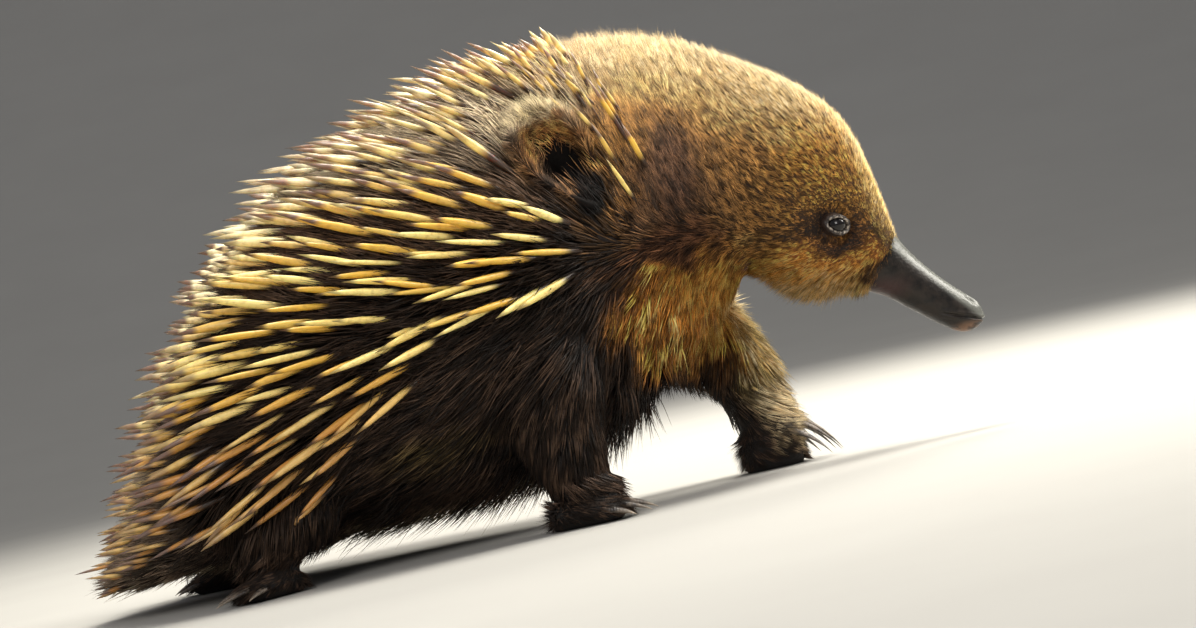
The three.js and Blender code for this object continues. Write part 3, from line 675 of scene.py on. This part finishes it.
eye_radius = 4.3  # millimetres, as are the next
opening_long, opening_high = 4.15, 2.75  # half the opening between the lids, each way
lid_foot = 2.1  # height of the lids' outer edge over the eye's middle
lid_rings = [  # distance outside the opening's edge, and height over it
    (-2.6, -2.6), (-0.7, -1.3), (0, 0.15), (0.2, 0.6), (0.5, 0.75), (0.8, 0.45), (1.0, 0.25),
    (1.15, 0.3), (1.35, 0.2), (1.55, -0.2), (1.75, -0.9), (1.95, -1.7), (2.2, -2.6), (2.4, -3.6),
]
for side, sign in sides.items():
    out = eye_facing[side]
    fore = Vector((1, 0, -0.45))
    fore = (fore - out * fore.dot(out)).normalized()
    upward = out.cross(fore) * -sign
    bpy.ops.mesh.primitive_uv_sphere_add(
        segments=40, ring_count=24, radius=eye_radius * mm, location=eyes[side]
    )
    ball = bpy.context.object
    ball.name = "eyeball_" + side
    bpy.ops.object.transform_apply(location=True, rotation=True, scale=True)
    away = places_of(ball) - np.array(eyes[side])
    front = np.clip((away @ np.array(out)) / (eye_radius * mm), 0, 1)
    put_places(ball, np.array(eyes[side]) + away * (1 + 0.07 * soft_step(0.72, 1, front))[:, None])
    bpy.ops.object.shade_smooth()
    ball.data.materials.append(eye_paint)
    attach(ball, "root")
    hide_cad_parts("eye_" + side)

    rings = []
    for number, (outside, height) in enumerate(lid_rings):
        ring = []
        for angle in turns(72):
            edge = 1 / math.hypot(math.cos(angle) / opening_long, math.sin(angle) / opening_high)
            over_ball = math.sqrt(eye_radius**2 - edge**2)
            level = over_ball + (lid_foot - over_ball) * float(soft_step(0.6, 3, outside))
            crease = 0.16 * math.sin(11 * angle + number) + 0.12 * math.sin(7 * angle - 2 * number)
            fold = 0.5 * max(0, math.sin(angle + 0.5)) * (number in (7, 8))
            fade = min(1, number / 5) * (1 < number < 11)
            radius = edge + outside * (1 + 0.12 * math.cos(2 * angle))
            ring.append(
                eyes[side]
                + fore * radius * math.cos(angle) * mm
                + upward * radius * math.sin(angle) * mm
                + out * (level + height + (crease + fold) * fade) * mm
            )
        rings.append(ring)
    lids = sewn("eyelids_" + side, rings)
    away = (places_of(lids) - np.array(eyes[side])) / mm
    ahead, high = away @ np.array(fore), away @ np.array(upward)
    past_edge = 1 - 1 / np.hypot(ahead / opening_long, high / opening_high)
    note(lids.data, "rim", np.hypot(ahead, high) * past_edge)
    lids.data.materials.append(lid_paint)
    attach(lids, "root")


# The claws: curved, blunt horn that grows from each toe and reaches the floor, grey-brown with a
# paler worn edge. The second hind claw is the long one that grooms between the spines.
horn_paint, tree, surface = new_material("claw_horn")
spot = place_in(tree)
grow_lines = shader(
    tree, "ShaderNodeTexWave", {"Vector": spot, "Scale": 260, "Distortion": 3, "Detail": 3}
).outputs["Fac"]
wear = noise(tree, spot, 300, 5)
shade = mixed(tree, graded(tree, wear, 0.35, 0.7), paint(46, 40, 37), paint(112, 100, 88))
height = shader(tree, "ShaderNodeSeparateXYZ", {0: spot}).outputs["Z"]
shade = mixed(tree, graded(tree, height, 5 * mm, 1 * mm), shade, paint(140, 127, 110))
dull = graded(tree, wear, 0.3, 0.7, 0.3, 0.5)
slopes = relief(tree, grow_lines, 0.35, 0.3)
wired(tree, surface, {"Base Color": shade, "Roughness": dull, "Normal": slopes})

for name, leg in legs.items():
    limb, side = name.split("_")
    grooming = {"hind_right": 3, "hind_left": 1}.get(name)
    tip_height = (1.3 if limb == "hind" else 0.7) * mm
    for index, (root, share, heading) in enumerate(toes_of(leg)):
        way = Vector((math.cos(heading), math.sin(heading), 0))
        across = Vector((-way.y, way.x, 0))
        reach = leg["claw"] * mm * (1.55 if index == grooming else 1 - 0.5 * share**2)
        start = root - way * 2 * mm
        rings = []
        for s in np.linspace(0, 0.97, 12):
            half = leg["claw_width"] / 2 * mm * (1 - s**1.9)
            drop = (start.z - tip_height - 0.5 * mm) * (0.35 * s + 0.65 * s * s)
            centre = start + way * reach * (s - 0.12 * s * s) - Vector((0, 0, drop))
            ring = []
            for angle in turns(14):
                rise = math.sin(angle)
                thick = half * (0.74 if rise > 0 else 0.5)
                ring.append(centre + across * half * math.cos(angle) + Vector((0, 0, thick * rise)))
            rings.append(ring)
        claw = sewn(f"claw_{name}_{index + 1}", rings)
        claw.data.materials.append(horn_paint)
        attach(claw, "root")
        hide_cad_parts(f"{limb}foot_{side}_claw_{index + 1}")


# The ears: upright slanted cups of thin gristle behind the cheek, brown inside and painted darker
# deeper in, as shade, with a rolled rim that the fur half covers.
ear_paint, tree, surface = new_material("ear_skin")
spot = place_in(tree)
pores = noise(tree, spot, 500, 6)
marks, tips = marked(tree, spot)
shade = mixed(tree, graded(tree, pores, 0.35, 0.7, 0.2, 0.9), paint(14, 9, 7), marks)
wired(tree, surface, {
    # Painted shade: the skin darkens to near-black deeper in the cup.
    "Base Color": mixed(tree, graded(tree, attribute(tree, "depth"), 0.2, 0.7), shade, paint(9, 6, 5)),
    "Roughness": 0.7,
    "Specular IOR Level": 0.12,
    "Subsurface Weight": 0.08,
    "Normal": relief(tree, pores, 0.5, 0.5),
})

ear_rings = [  # share of the ear's size and height over the hide
    (0.9, -15), (1.06, -4), (1.06, 0), (1.03, 2.6), (0.98, 4.2), (0.92, 4.8), (0.86, 4.2),
    (0.82, 2.6), (0.78, 0.4), (0.68, -3), (0.54, -6.5), (0.38, -9.5), (0.18, -11.5),
]
notch_at = math.radians(152)  # where the cup opens downward and ahead
ear_cups = {}
for side, sign in sides.items():
    out = Vector(ear_facing[side])
    up = (ear_up - out * ear_up.dot(out)).normalized()
    fore = up.cross(out) * -sign
    fore = fore if fore.x > 0 else -fore
    rings = []
    for size, height in ear_rings:
        sink = soft_step(3, -8, height) * (size < 0.85)
        middle = ears[side] + (fore * ear_wide * 0.3 - up * ear_long * 0.34) * float(sink)
        ring = []
        for angle in turns(48):
            rise, ahead = math.cos(angle), math.sin(angle)
            swell = 1 + 0.35 * rise
            notch = 1 - 0.98 * max(0, math.cos(angle - notch_at)) ** 2
            lift = height * (notch if height > 0 else 1)
            ripple = 0.5 * math.sin(5 * angle) * (0 < size < 0.85)
            ring.append(
                middle
                + up * ear_long * size * rise
                + fore * ear_wide * size * swell * ahead
                + out * (lift + ripple) * mm
            )
        rings.append(ring)
    ear = sewn("ear_cup_" + side, rings)
    rounded(ear)
    away = places_of(ear) - np.array(ears[side])
    sunk = away @ np.array(out)
    inner = np.hypot(away @ np.array(up) / ear_long, away @ np.array(fore) / ear_wide) < 0.97
    # How deep each point lies in the cup, which sets the painted shade there.
    note(ear.data, "depth", soft_step(6 * mm, -7 * mm, sunk) * inner)
    unwrap(ear)
    ear_cups[side] = ear
    ear.data.materials.append(ear_paint)
    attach(ear, "root")
    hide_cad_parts("ear_" + side)


# The spines: stiff hollow hairs of keratin, some 3 mm thick and a thousand here, rooted in the
# back, flanks and tail. They are cream to ochre, brown at the root and dark at the point, and
# painted paler along the top of the back as a highlight.
def surface_of(piece):
    """A piece's triangles, with their normals and their places on its unwrap."""
    mesh = piece.data
    mesh.calc_loop_triangles()
    count = len(mesh.loop_triangles)
    corners = np.empty(count * 3, np.int32)
    mesh.loop_triangles.foreach_get("vertices", corners)
    loops = np.empty(count * 3, np.int32)
    mesh.loop_triangles.foreach_get("loops", loops)
    normals = np.empty(len(mesh.vertices) * 3)
    mesh.vertices.foreach_get("normal", normals)
    unwrap = np.empty(len(mesh.loops) * 2)
    mesh.uv_layers["OFBake"].data.foreach_get("uv", unwrap)
    points = places_of(piece)[corners].reshape(-1, 3, 3)
    sides_crossed = np.cross(points[:, 1] - points[:, 0], points[:, 2] - points[:, 0])
    return dict(
        points=points,
        normals=normals.reshape(-1, 3)[corners].reshape(-1, 3, 3),
        unwrap=unwrap.reshape(-1, 2)[loops].reshape(-1, 3, 2),
        area=np.linalg.norm(sides_crossed, axis=1) / 2,
    )


def scattered(surface, wanted, count, draw):
    """Places spread over a surface, as thick as a test of place and normal asks."""
    weight = surface["area"] * wanted(surface["points"].mean(axis=1), surface["normals"].mean(axis=1))
    total = np.cumsum(weight)
    picks = np.searchsorted(total, (np.arange(count) + draw.random(count)) / count * total[-1])
    picks = np.minimum(picks, len(total) - 1)
    first, second = draw.random(count), draw.random(count)
    over = first + second > 1
    first[over], second[over] = 1 - first[over], 1 - second[over]
    shares = np.stack([1 - first - second, first, second], axis=1)[:, :, None]
    normals = (surface["normals"][picks] * shares).sum(axis=1)
    return dict(
        roots=(surface["points"][picks] * shares).sum(axis=1),
        normals=normals / np.linalg.norm(normals, axis=1, keepdims=True),
        unwrap=(surface["unwrap"][picks] * shares).sum(axis=1),
    )


def thinned(found, spacing):
    """Only the places that keep a spacing from those kept before them."""
    tree = KDTree(len(found["roots"]))
    for number, root in enumerate(found["roots"]):
        tree.insert(root, number)
    tree.balance()
    dropped = np.zeros(len(found["roots"]), bool)
    order = draw.permutation(len(dropped))
    rank = np.argsort(order)
    for number in order:
        if dropped[number]:
            continue
        for place, other, gap in tree.find_range(found["roots"][number], spacing[number]):
            if rank[other] > rank[number]:
                dropped[other] = True
    return {key: values[~dropped] for key, values in found.items()}


def in_profile(points):
    """How far ahead and how high each place is, in millimetres."""
    return points[:, 0] / mm, points[:, 2] / mm


def coat_lie(points):
    """How far the coat on the animal's side points up from straight back."""
    x, z = in_profile(points)
    heights, degrees = (0, 40, 70, 90, 105, 120, 160, 200), (-27, -19, -16, -8, 4, 13, 17, 20)
    trunk = np.radians(np.interp(z, heights, degrees))
    rump = np.radians(np.interp(z, (0, 30, 90, 200), (-8, 0, 8, 18)))
    trunk = trunk + (rump - trunk) * soft_step(-95, -150, x)
    spread = np.arctan2(z - 108, np.maximum(12, 62 - x))
    shoulder = spread * np.where(spread > 0, 0.6, 0.95)
    body = trunk + (shoulder - trunk) * soft_step(-45, 15, x)
    on_face = soft_step(84, 112, x) * soft_step(64, 82, z)
    on_head = np.maximum(soft_step(36, 62, x) * soft_step(98, 118, z), on_face)
    cheek = np.radians(66 - 38 * soft_step(80, 145, x)) * soft_step(74, 108, z)
    return body + (cheek - body) * on_head


def laid(ways, normals):
    """The part of each way that runs along the hide."""
    return ways - normals * (ways * normals).sum(axis=1, keepdims=True)


def growth(points, normals, lift, turn=0.0):
    """The way each hair or spine sets out: along the lie of the coat, and lifted off the hide at
    least by its share. Where the body falls away behind, it goes straight on."""
    angle = coat_lie(points) + turn
    way = np.stack([-np.cos(angle), np.zeros(len(angle)), np.sin(angle)], axis=1)
    out = (way * normals).sum(axis=1, keepdims=True)
    flat = laid(way, normals)
    flat /= np.maximum(np.linalg.norm(flat, axis=1, keepdims=True), 1e-6)
    lift = np.broadcast_to(lift, len(way))[:, None]
    return np.where(out > lift, way, flat * np.sqrt(1 - lift**2) + normals * lift)


def blades(
    name, found, way, length, width, profile, tone, corners=3, thick=0.5, sunk=1.2, hug=0.0, pull=None,
):
    """Tapered closed blades rooted in the hide, in one mesh. It notes how far along each point lies
    and each blade's tone, and gives each blade its own patch of the hide's unwrap."""
    roots, normals = found["roots"], found["normals"]
    count = len(roots)
    stations = np.array([station for station, share in profile])
    shares = np.array([share for station, share in profile])
    rings = len(stations)
    across = np.cross(normals, way)
    across /= np.maximum(np.linalg.norm(across, axis=1, keepdims=True), 1e-6)
    over = np.cross(way, across)
    s = stations[None, :, None]
    length = np.broadcast_to(length, count)[:, None, None]
    width = np.broadcast_to(width, count)[:, None, None]
    centres = roots[:, None] + way[:, None] * length * s - normals[:, None] * sunk * mm * (s == 0)
    centres = centres - normals[:, None] * (length * s) ** 2 * hug
    if pull is not None:
        centres = centres + pull[:, None] * s**1.5
    angles = np.arange(corners) / corners * 2 * math.pi
    half = (width / 2 * shares[None, :, None])[:, :, None]
    half_thick = (width / 2 * thick * shares[None, :, None])[:, :, None]
    sideways = half * np.cos(angles)[None, None, :, None]
    upwards = half_thick * np.sin(angles)[None, None, :, None]
    ring_points = (
        centres[:, :-1, None]
        + across[:, None, None] * sideways[:, :-1]
        + over[:, None, None] * upwards[:, :-1]
    )
    points = np.concatenate([ring_points.reshape(count, -1, 3), centres[:, -1:]], axis=1)
    points[:, :, 2] = np.maximum(points[:, :, 2], sole)
    each = points.shape[1]

    def corner(ring, k):
        return ring * corners + k % corners if ring < rings - 1 else each - 1

    def spot(ring, k):
        return (k / corners - 0.5, stations[ring] - 0.5)

    one, patch_spots = [], []
    for ring in range(rings - 1):
        last = ring == rings - 2
        for k in range(corners):
            one.append((corner(ring, k), corner(ring, k + 1), corner(ring + 1, k)))
            patch_spots.append((spot(ring, k), spot(ring, k + 1), spot(ring + 1, k + 0.5 * last)))
            if not last:
                one.append((corner(ring, k + 1), corner(ring + 1, k + 1), corner(ring + 1, k)))
                patch_spots.append((spot(ring, k + 1), spot(ring + 1, k + 1), spot(ring + 1, k)))
    for k in range(1, corners - 1):
        one.append((0, k + 1, k))
        patch_spots.append((spot(0, 0), (k / corners - 0.4, -0.47), (k / corners - 0.45, -0.5)))
    faces = (np.array(one)[None] + np.arange(count)[:, None, None] * each).reshape(-1, 3)
    unwrap = found["unwrap"][:, None, None] + patch_size * np.array(patch_spots)[None]

    mesh = bpy.data.meshes.new(name)
    mesh.vertices.add(count * each)
    mesh.vertices.foreach_set("co", points.ravel())
    mesh.loops.add(len(faces) * 3)
    mesh.loops.foreach_set("vertex_index", faces.ravel().astype(np.int32))
    mesh.polygons.add(len(faces))
    mesh.polygons.foreach_set("loop_start", np.arange(0, len(faces) * 3, 3, dtype=np.int32))
    mesh.polygons.foreach_set("use_smooth", np.ones(len(faces), bool))
    mesh.update(calc_edges=True)
    mesh.uv_layers.new(name="OFBake").data.foreach_set("uv", unwrap.ravel())
    note(mesh, "along", np.tile(np.append(np.repeat(stations[:-1], corners), 1), count))
    note(mesh, "tone", np.repeat(tone, each))
    piece = bpy.data.objects.new(name, mesh)
    bpy.context.collection.objects.link(piece)
    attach(piece, "root")
    return piece


def in_ear(points, grow=1.0):
    """True for places within an ear's oval."""
    away = points[:, [0, 2]] - ear_middle
    up = away @ np.array((-math.sin(ear_tilt), math.cos(ear_tilt))) / (ear_long * grow)
    across = away @ np.array((math.cos(ear_tilt), math.sin(ear_tilt))) / (ear_wide * 1.1 * grow)
    return np.hypot(up, across) < 1


def on_feet(points, rise=1.0):
    """1 on the feet and a little way up the ankles, 0 off them, and which way is ahead there."""
    share, ahead = np.zeros(len(points)), np.zeros((len(points), 3))
    for leg in legs.values():
        middle = np.array(foot_place(leg, leg["length"] * 0.55, 0, 0))
        far = np.linalg.norm((points - middle)[:, :2], axis=1)
        tall = leg["height"] * rise * mm
        here = soft_step(25 * mm, 21 * mm, far) * soft_step(tall * 1.3, tall * 0.9, points[:, 2])
        turn = math.radians(leg["heading"])
        share = np.maximum(share, here)
        ahead += here[:, None] * np.array((math.cos(turn), math.sin(turn), -0.5))
    return share, ahead


def bears_spines(points, normals, slack=0.0):
    """How thick the spines stand: none below a line that climbs the flank, nor ahead of the nape.
    In front of the ear only a few stand between the hairs."""
    x, z = in_profile(points)
    edge = 15 + 95 * np.clip((x + 95) / 145, 0, 1) ** 0.62
    edge += 6 * soft_step(-70, -40, x) * soft_step(30, 0, x)
    edge += 26 * soft_step(-130, -114, x) * soft_step(-70, -90, x)
    front = np.interp(z, (60, 112, 130, 168, 180, 205), (10, 62, 74, 66, 52, 50))
    above = soft_step(edge - 8 - slack, edge + 6 - slack, z)
    behind = soft_step(front + 5 + slack, front - 5 + slack, x)
    ahead_of_ear = soft_step(46, 54, x) * soft_step(178, 172, z)
    under = soft_step(-0.8, -0.45, normals[:, 2])
    below_ear = np.hypot((x - 52) / 13, (z - 126) / 20) < 1
    sparse = 0.5 * soft_step(-75, -45, x) * soft_step(122, 100, z)
    clear = 1 - on_feet(points, 1.9)[0]
    thick = above * behind * under * clear * (1 - 0.75 * ahead_of_ear) * (1 - sparse)
    return thick * ~in_ear(points, 1.12) * ~below_ear


def spine_reach(x):
    """How far the tips of the spines stand from the hide, in millimetres."""
    return 17 + 8 * soft_step(-80, -140, x) - 5 * soft_step(10, 70, x)


def fineness(x, z):
    """1 on the rump and along the back, where the spines are finer and closer."""
    return np.maximum(soft_step(-95, -140, x), soft_step(140, 165, z))


patch_size = 0.003  # of each blade's patch on the unwrap
draw = np.random.default_rng(20771)
skin = surface_of(hide)
ear_skins = {side: surface_of(ear) for side, ear in ear_cups.items()}
found = scattered(skin, bears_spines, 16000, draw)
x, z = in_profile(found["roots"])
crowded = soft_step(-60, -10, x) * soft_step(128, 150, z)
spacing = 7.1 - 1.3 * fineness(x, z) - 0.7 * crowded  # in millimetres
found = thinned(found, spacing * mm)
x, z = in_profile(found["roots"])
count = len(x)
fine = fineness(x, z)
near_head = soft_step(36, 52, x) * soft_step(182, 170, z)
reach = spine_reach(x)
turn = np.radians(draw.normal(0, 4.5 + 2.5 * fine, count))
lift = np.clip(0.4 + draw.normal(0, 0.05, count), 0.25, 0.6)
way = growth(found["roots"], found["normals"], lift, turn)
stand = (way * found["normals"]).sum(axis=1)
length = np.clip(reach / stand * (1 + draw.normal(0, 0.13 + 0.05 * fine, count)), 19, 46)
length *= 1 - 0.3 * soft_step(60, 15, z) * soft_step(-60, -110, x) - 0.15 * near_head
length *= 1 - 0.08 * soft_step(-105, -150, x)
width = (3.5 + draw.normal(0, 0.5, count)) * (1 - 0.42 * near_head) * (1 - 0.22 * fine)
low_flank = soft_step(-70, -40, x) * soft_step(124, 108, z)
width *= (0.72 + 0.28 * soft_step(15, 70, z)) * (1 - 0.16 * low_flank)
width *= 1 - 0.12 * soft_step(130, 160, z)
spine_profile = [(0, 0.5), (0.14, 0.7), (0.4, 0.95), (0.6, 1), (0.82, 0.66), (1, 0)]
spines = blades(
    "spines", found, way, length * mm, width * mm, spine_profile, draw.random(count),
    corners=6, thick=1, sunk=5, hug=0.6,
)

spine_paint, tree, surface = new_material("spine_keratin")
spot = place_in(tree)
along, tone = attribute(tree, "along"), attribute(tree, "tone")
streaks = noise(tree, spot, 420, 4)
axes = shader(tree, "ShaderNodeSeparateXYZ", {0: spot}).outputs
height = axes["Z"]
shade = mixed(tree, graded(tree, tone, 0.2, 0.95), paint(220, 170, 64), paint(246, 221, 138))
low_shade = mixed(tree, graded(tree, tone, 0.2, 0.8), paint(188, 128, 62), paint(222, 178, 106))
shade = mixed(tree, graded(tree, height, 50 * mm, 100 * mm), low_shade, shade)
# Painted highlight: the spines grow paler towards the top of the back, as light from above and behind.
ridge = patch(tree, spot, (-60, 0, 120), (170, 86, 130), 0.4)
shade = mixed(tree, ridge, shade, paint(250, 233, 190))
shade = mixed(tree, graded(tree, streaks, 0.45, 0.7, 0, 0.35), shade, paint(160, 112, 46))
on_rump = graded(tree, axes["X"], -90 * mm, -140 * mm)
far_back = maths(tree, "MAXIMUM", on_rump, graded(tree, height, 130 * mm, 160 * mm))
from_root = maths(tree, "SUBTRACT", along, graded(tree, far_back, 0, 1, 0, 0.18))
shade = mixed(tree, graded(tree, from_root, 0.4, 0.24), shade, paint(50, 36, 27))
to_tip = maths(tree, "ADD", along, graded(tree, far_back, 0, 1, 0, 0.16))
dark_tip = graded(tree, tone, 0.9, 0.3, 0.5, 0.95)
dark_tip = maths(tree, "MULTIPLY", graded(tree, to_tip, 0.8, 0.92), dark_tip)
shade = mixed(tree, dark_tip, shade, mixed(tree, far_back, paint(40, 29, 22), paint(102, 83, 78)))
wired(tree, surface, {
    "Base Color": shade,
    "Roughness": graded(tree, streaks, 0.3, 0.7, 0.28, 0.45),
    "Subsurface Weight": 0.1,
    "Normal": relief(tree, streaks, 0.3, 0.3),
})
spines.data.materials.append(spine_paint)


# The hair: flattened tapering strands that lie along the body in loose locks. It is short and
# close on face and feet, longer over belly, flanks and legs, and coarse and dark among the spines.
palest = (0.72, 0.6, 0.38)  # no strand is paler
down_limbs = np.array((-0.25, 0, -1))  # the way of the hair on the legs


def hair_finish(name, pale_sheen_share, painted_root_shade, gain=1.9, sheen=0.16):
    """Matt hair in the coat's markings, each strand of its own tone, with painted shade towards the
    roots and some strands pale, partly as painted highlights.
    """
    material, tree, surface = new_material(name)
    spot = place_in(tree)
    along, tone = attribute(tree, "along"), attribute(tree, "tone")
    roots, tips = marked(tree, spot)
    shade = mixed(tree, graded(tree, along, 0.05, 0.9), roots, tips)
    deep = mixed(tree, 0.8, shade, paint(10, 7, 6))
    # Painted shade: each strand darkens towards its root, standing in for the shade deep in the coat.
    shade = mixed(tree, graded(tree, along, 0.4, 0.0, 0, painted_root_shade), shade, deep)
    shade = mixed(tree, graded(tree, tone, 0.5, 0.2, 0, 0.9), shade, deep)
    # Some strands are paler: partly pale hairs, partly painted highlights that stand in for sheen.
    lit = vectors(tree, "MINIMUM", vectors(tree, "SCALE", shade, gain), palest)
    pale = mixed(tree, pale_sheen_share, shade, lit)
    shade = mixed(tree, graded(tree, tone, 0.54, 0.84), shade, pale)
    mottle = noise(tree, spot, 300, 3)
    shade = mixed(tree, graded(tree, mottle, 0.55, 0.3, 0, 0.6), shade, deep)
    dull = graded(tree, tone, 0, 1, 0.5, 0.7)
    wired(tree, surface, {"Base Color": shade, "Roughness": dull, "Specular IOR Level": sheen})
    return material


eye_places = np.array([eyes["right"], eyes["left"]])


def from_eye(points):
    """How far each place is from the nearer eye."""
    return np.min([np.linalg.norm(points - place, axis=1) for place in eye_places], axis=0)


def on_limbs(points):
    """1 along the legs, 0 on the body."""
    share = np.zeros(len(points))
    for leg in legs.values():
        for x, y, z, radius in leg["path"][1:]:
            far = np.linalg.norm(points - np.array((x, y, z)) * mm, axis=1)
            share = np.maximum(share, soft_step((radius + 8) * mm, (radius + 1) * mm, far))
    return share * soft_step(75 * mm, 45 * mm, points[:, 2])


def head_share(points):
    """1 over head and cheeks, where the hair is short, 0 over the body."""
    x, z = in_profile(points)
    behind = 74 - 0.35 * (z - 108)
    return soft_step(behind - 14, behind + 8, x) * soft_step(58, 74, z + 0.35 * (x - 100))


def grow_hair(
    name, finish, wanted, count, length_of, width, lift, locks, profile,
    hug=0.0, spread=8, gather=0.6, on=None, tallest=None,
):
    """Hair over a part of the hide, gathered into locks, in one piece for each side of the body."""
    for side, sign in sides.items():
        def here(points, normals):
            return wanted(points, normals) * (points[:, 1] * sign > 0)

        grown_from = on[side] if on else skin
        found = scattered(grown_from, here, count, draw)
        roots, normals = found["roots"], found["normals"]
        middles = scattered(grown_from, here, locks, draw)["roots"]
        tree = KDTree(locks)
        for number, middle in enumerate(middles):
            tree.insert(middle, number)
        tree.balance()
        nearest = np.array([tree.find(root)[1] for root in roots])
        lock_turn, lock_tone = draw.normal(0, spread * 1.2, locks), draw.random(locks)
        turn = np.radians(lock_turn[nearest] + draw.normal(0, spread * 0.6, count))
        length = length_of(roots) * (1 + draw.normal(0, 0.16, count)) * mm
        lifted = np.clip(lift + draw.normal(0, lift * 0.3, count), 0.05, 0.9)
        way = growth(roots, normals, lifted, turn)

        from_lids = laid(roots - eye_places[int(side == "left")], normals)
        near = np.linalg.norm(from_lids, axis=1, keepdims=True)
        round_eye = 0.85 * soft_step(9.5 * mm, 5 * mm, near)
        way = way * (1 - round_eye) + (from_lids / near + normals * 0.5) * round_eye
        limb = on_limbs(roots)[:, None]
        fringe = 0.45 * soft_step(0.25, 0.7, normals[:, :1]) * soft_step(80 * mm, 92 * mm, roots[:, :1])
        way = way * (1 - limb) + (laid(down_limbs, normals) + normals * (lift + fringe)) * limb
        foot, ahead = on_feet(roots, 1.5)
        foot = foot[:, None]
        way = way * (1 - foot) + laid(ahead, normals) + normals * (0.3 * foot)
        way /= np.linalg.norm(way, axis=1, keepdims=True)

        if tallest:
            stand = (way * normals).sum(axis=1)
            length = np.minimum(length, tallest(roots) * draw.uniform(0.75, 1.15, count) * mm / stand)
        pull = laid((middles[nearest] - roots) * gather, normals)
        tone = 0.6 * lock_tone[nearest] + 0.4 * draw.random(count)
        x, z = in_profile(roots)
        contrast = 1.35 - 0.4 * soft_step(140, 165, z + 0.9 * (x - 100))
        hair = blades(
            f"{name}_{side}", found, way, length, width * mm * draw.uniform(0.7, 1.2, count),
            profile, np.clip(0.5 + contrast * (tone - 0.5), 0, 1), hug=hug, pull=pull,
        )
        hair.data.materials.append(finish)


face_finish = hair_finish("face_hair", 0.85, 0.5, gain=2.8)
back_finish = hair_finish("back_hair", 0.9, 0.6)
flank_finish = hair_finish("flank_hair", 0.9, 0.45, gain=4, sheen=0.2)
straight = [(0, 1), (1, 0)]
bent = [(0, 0.9), (0.5, 0.85), (1, 0)]


def bears_face_hair(points, normals, none_at=104, all_at=112):
    """Head hair, all of it past one line across the head and none past another, thick by the eyes."""
    x, z = in_profile(points)
    eye = from_eye(points)
    ear_front = np.hypot((x - 53) / 8, (z - 133) / 13) < 1
    clear = (eye > 4.3 * mm) & ~in_ear(points, 0.95) & ~ear_front & (x < 171.5)
    thick = 1 + soft_step(22 * mm, 10 * mm, eye)
    return head_share(points) * clear * thick * soft_step(none_at, all_at, x)


def bears_crown_hair(points, normals):
    return bears_face_hair(points, normals, 112, 104)


def bears_back_hair(points, normals):
    return bears_spines(points, normals, 5) * ~in_ear(points) * (1 - head_share(points))


def bears_flank_hair(points, normals):
    free = (1 - bears_spines(points, normals)) * (1 - head_share(points)) * (1 - on_feet(points)[0])
    return free * ~in_ear(points) * (0.45 + 0.55 * soft_step(-0.9, -0.3, normals[:, 2]))


def bears_foot_hair(points, normals):
    return on_feet(points)[0] * (normals[:, 2] > -0.3)


def bears_ear_hair(points, normals):
    """On the rim of the ears and a little way in, thickest at the top."""
    out = [(points - np.array(ears[side])) @ np.array(ear_facing[side]) for side in sides]
    on_rim = soft_step(-8, 0, np.max(out, axis=0) / mm)
    from_hollow = np.linalg.norm((points[:, [0, 2]] - np.array((51, 132)) * mm) * (1, 0.6), axis=1)
    return on_rim * soft_step(7 * mm, 9 * mm, from_hollow) * (0.6 + 0.8 * (points[:, 2] > 156 * mm))


def face_hair_length(points):
    x, z = in_profile(points)
    near_eye = soft_step(30 * mm, 8 * mm, from_eye(points))
    on_face = 3.4 * (1 - near_eye) * soft_step(176, 155, x)
    under_chin = soft_step(82, 74, z) * soft_step(148, 138, x)
    return 2.6 + on_face + 4 * soft_step(130, 70, x) + 3 * under_chin


def back_hair_length(points):
    x, z = in_profile(points)
    return 28 - 9 * soft_step(0, 60, x) - 8 * soft_step(60, 30, z) * soft_step(-100, -130, x)


def under_spines(points):
    return 0.72 * spine_reach(points[:, 0] / mm)


def flank_hair_length(points):
    x, z = in_profile(points)
    on_chest = soft_step(46, 66, x) * soft_step(36, 50, z)
    on_rump = soft_step(-100, -130, x)
    return 27 - 13 * np.maximum(np.maximum(on_limbs(points), on_chest), on_rump)


def foot_hair_length(points):
    return np.full(len(points), 6.0)


def ear_hair_length(points):
    return np.interp(points[:, 2] / mm, (128, 145, 168), (3.5, 7, 9.5))


grow_hair(
    "face_hair", face_finish, bears_face_hair, 34000, face_hair_length,
    width=0.56, lift=0.28, locks=4600, profile=straight, spread=9,
)
grow_hair(
    "crown_hair", face_finish, bears_crown_hair, 38000, face_hair_length,
    width=0.64, lift=0.28, locks=3200, profile=straight, spread=9,
)
grow_hair(
    "back_hair", back_finish, bears_back_hair, 19500, back_hair_length,
    width=0.85, lift=0.46, locks=1700, profile=bent, hug=4, tallest=under_spines,
)
grow_hair(
    "flank_hair", flank_finish, bears_flank_hair, 15500, flank_hair_length,
    width=0.85, lift=0.2, locks=1100, profile=bent, hug=5,
)
grow_hair(
    "foot_hair", flank_finish, bears_foot_hair, 6000, foot_hair_length,
    width=0.6, lift=0.3, locks=400, profile=straight, gather=0.4,
)
grow_hair(
    "ear_hair", face_finish, bears_ear_hair, 7000, ear_hair_length,
    width=0.5, lift=0.4, locks=400, profile=straight, spread=14, gather=0.3, on=ear_skins,
)
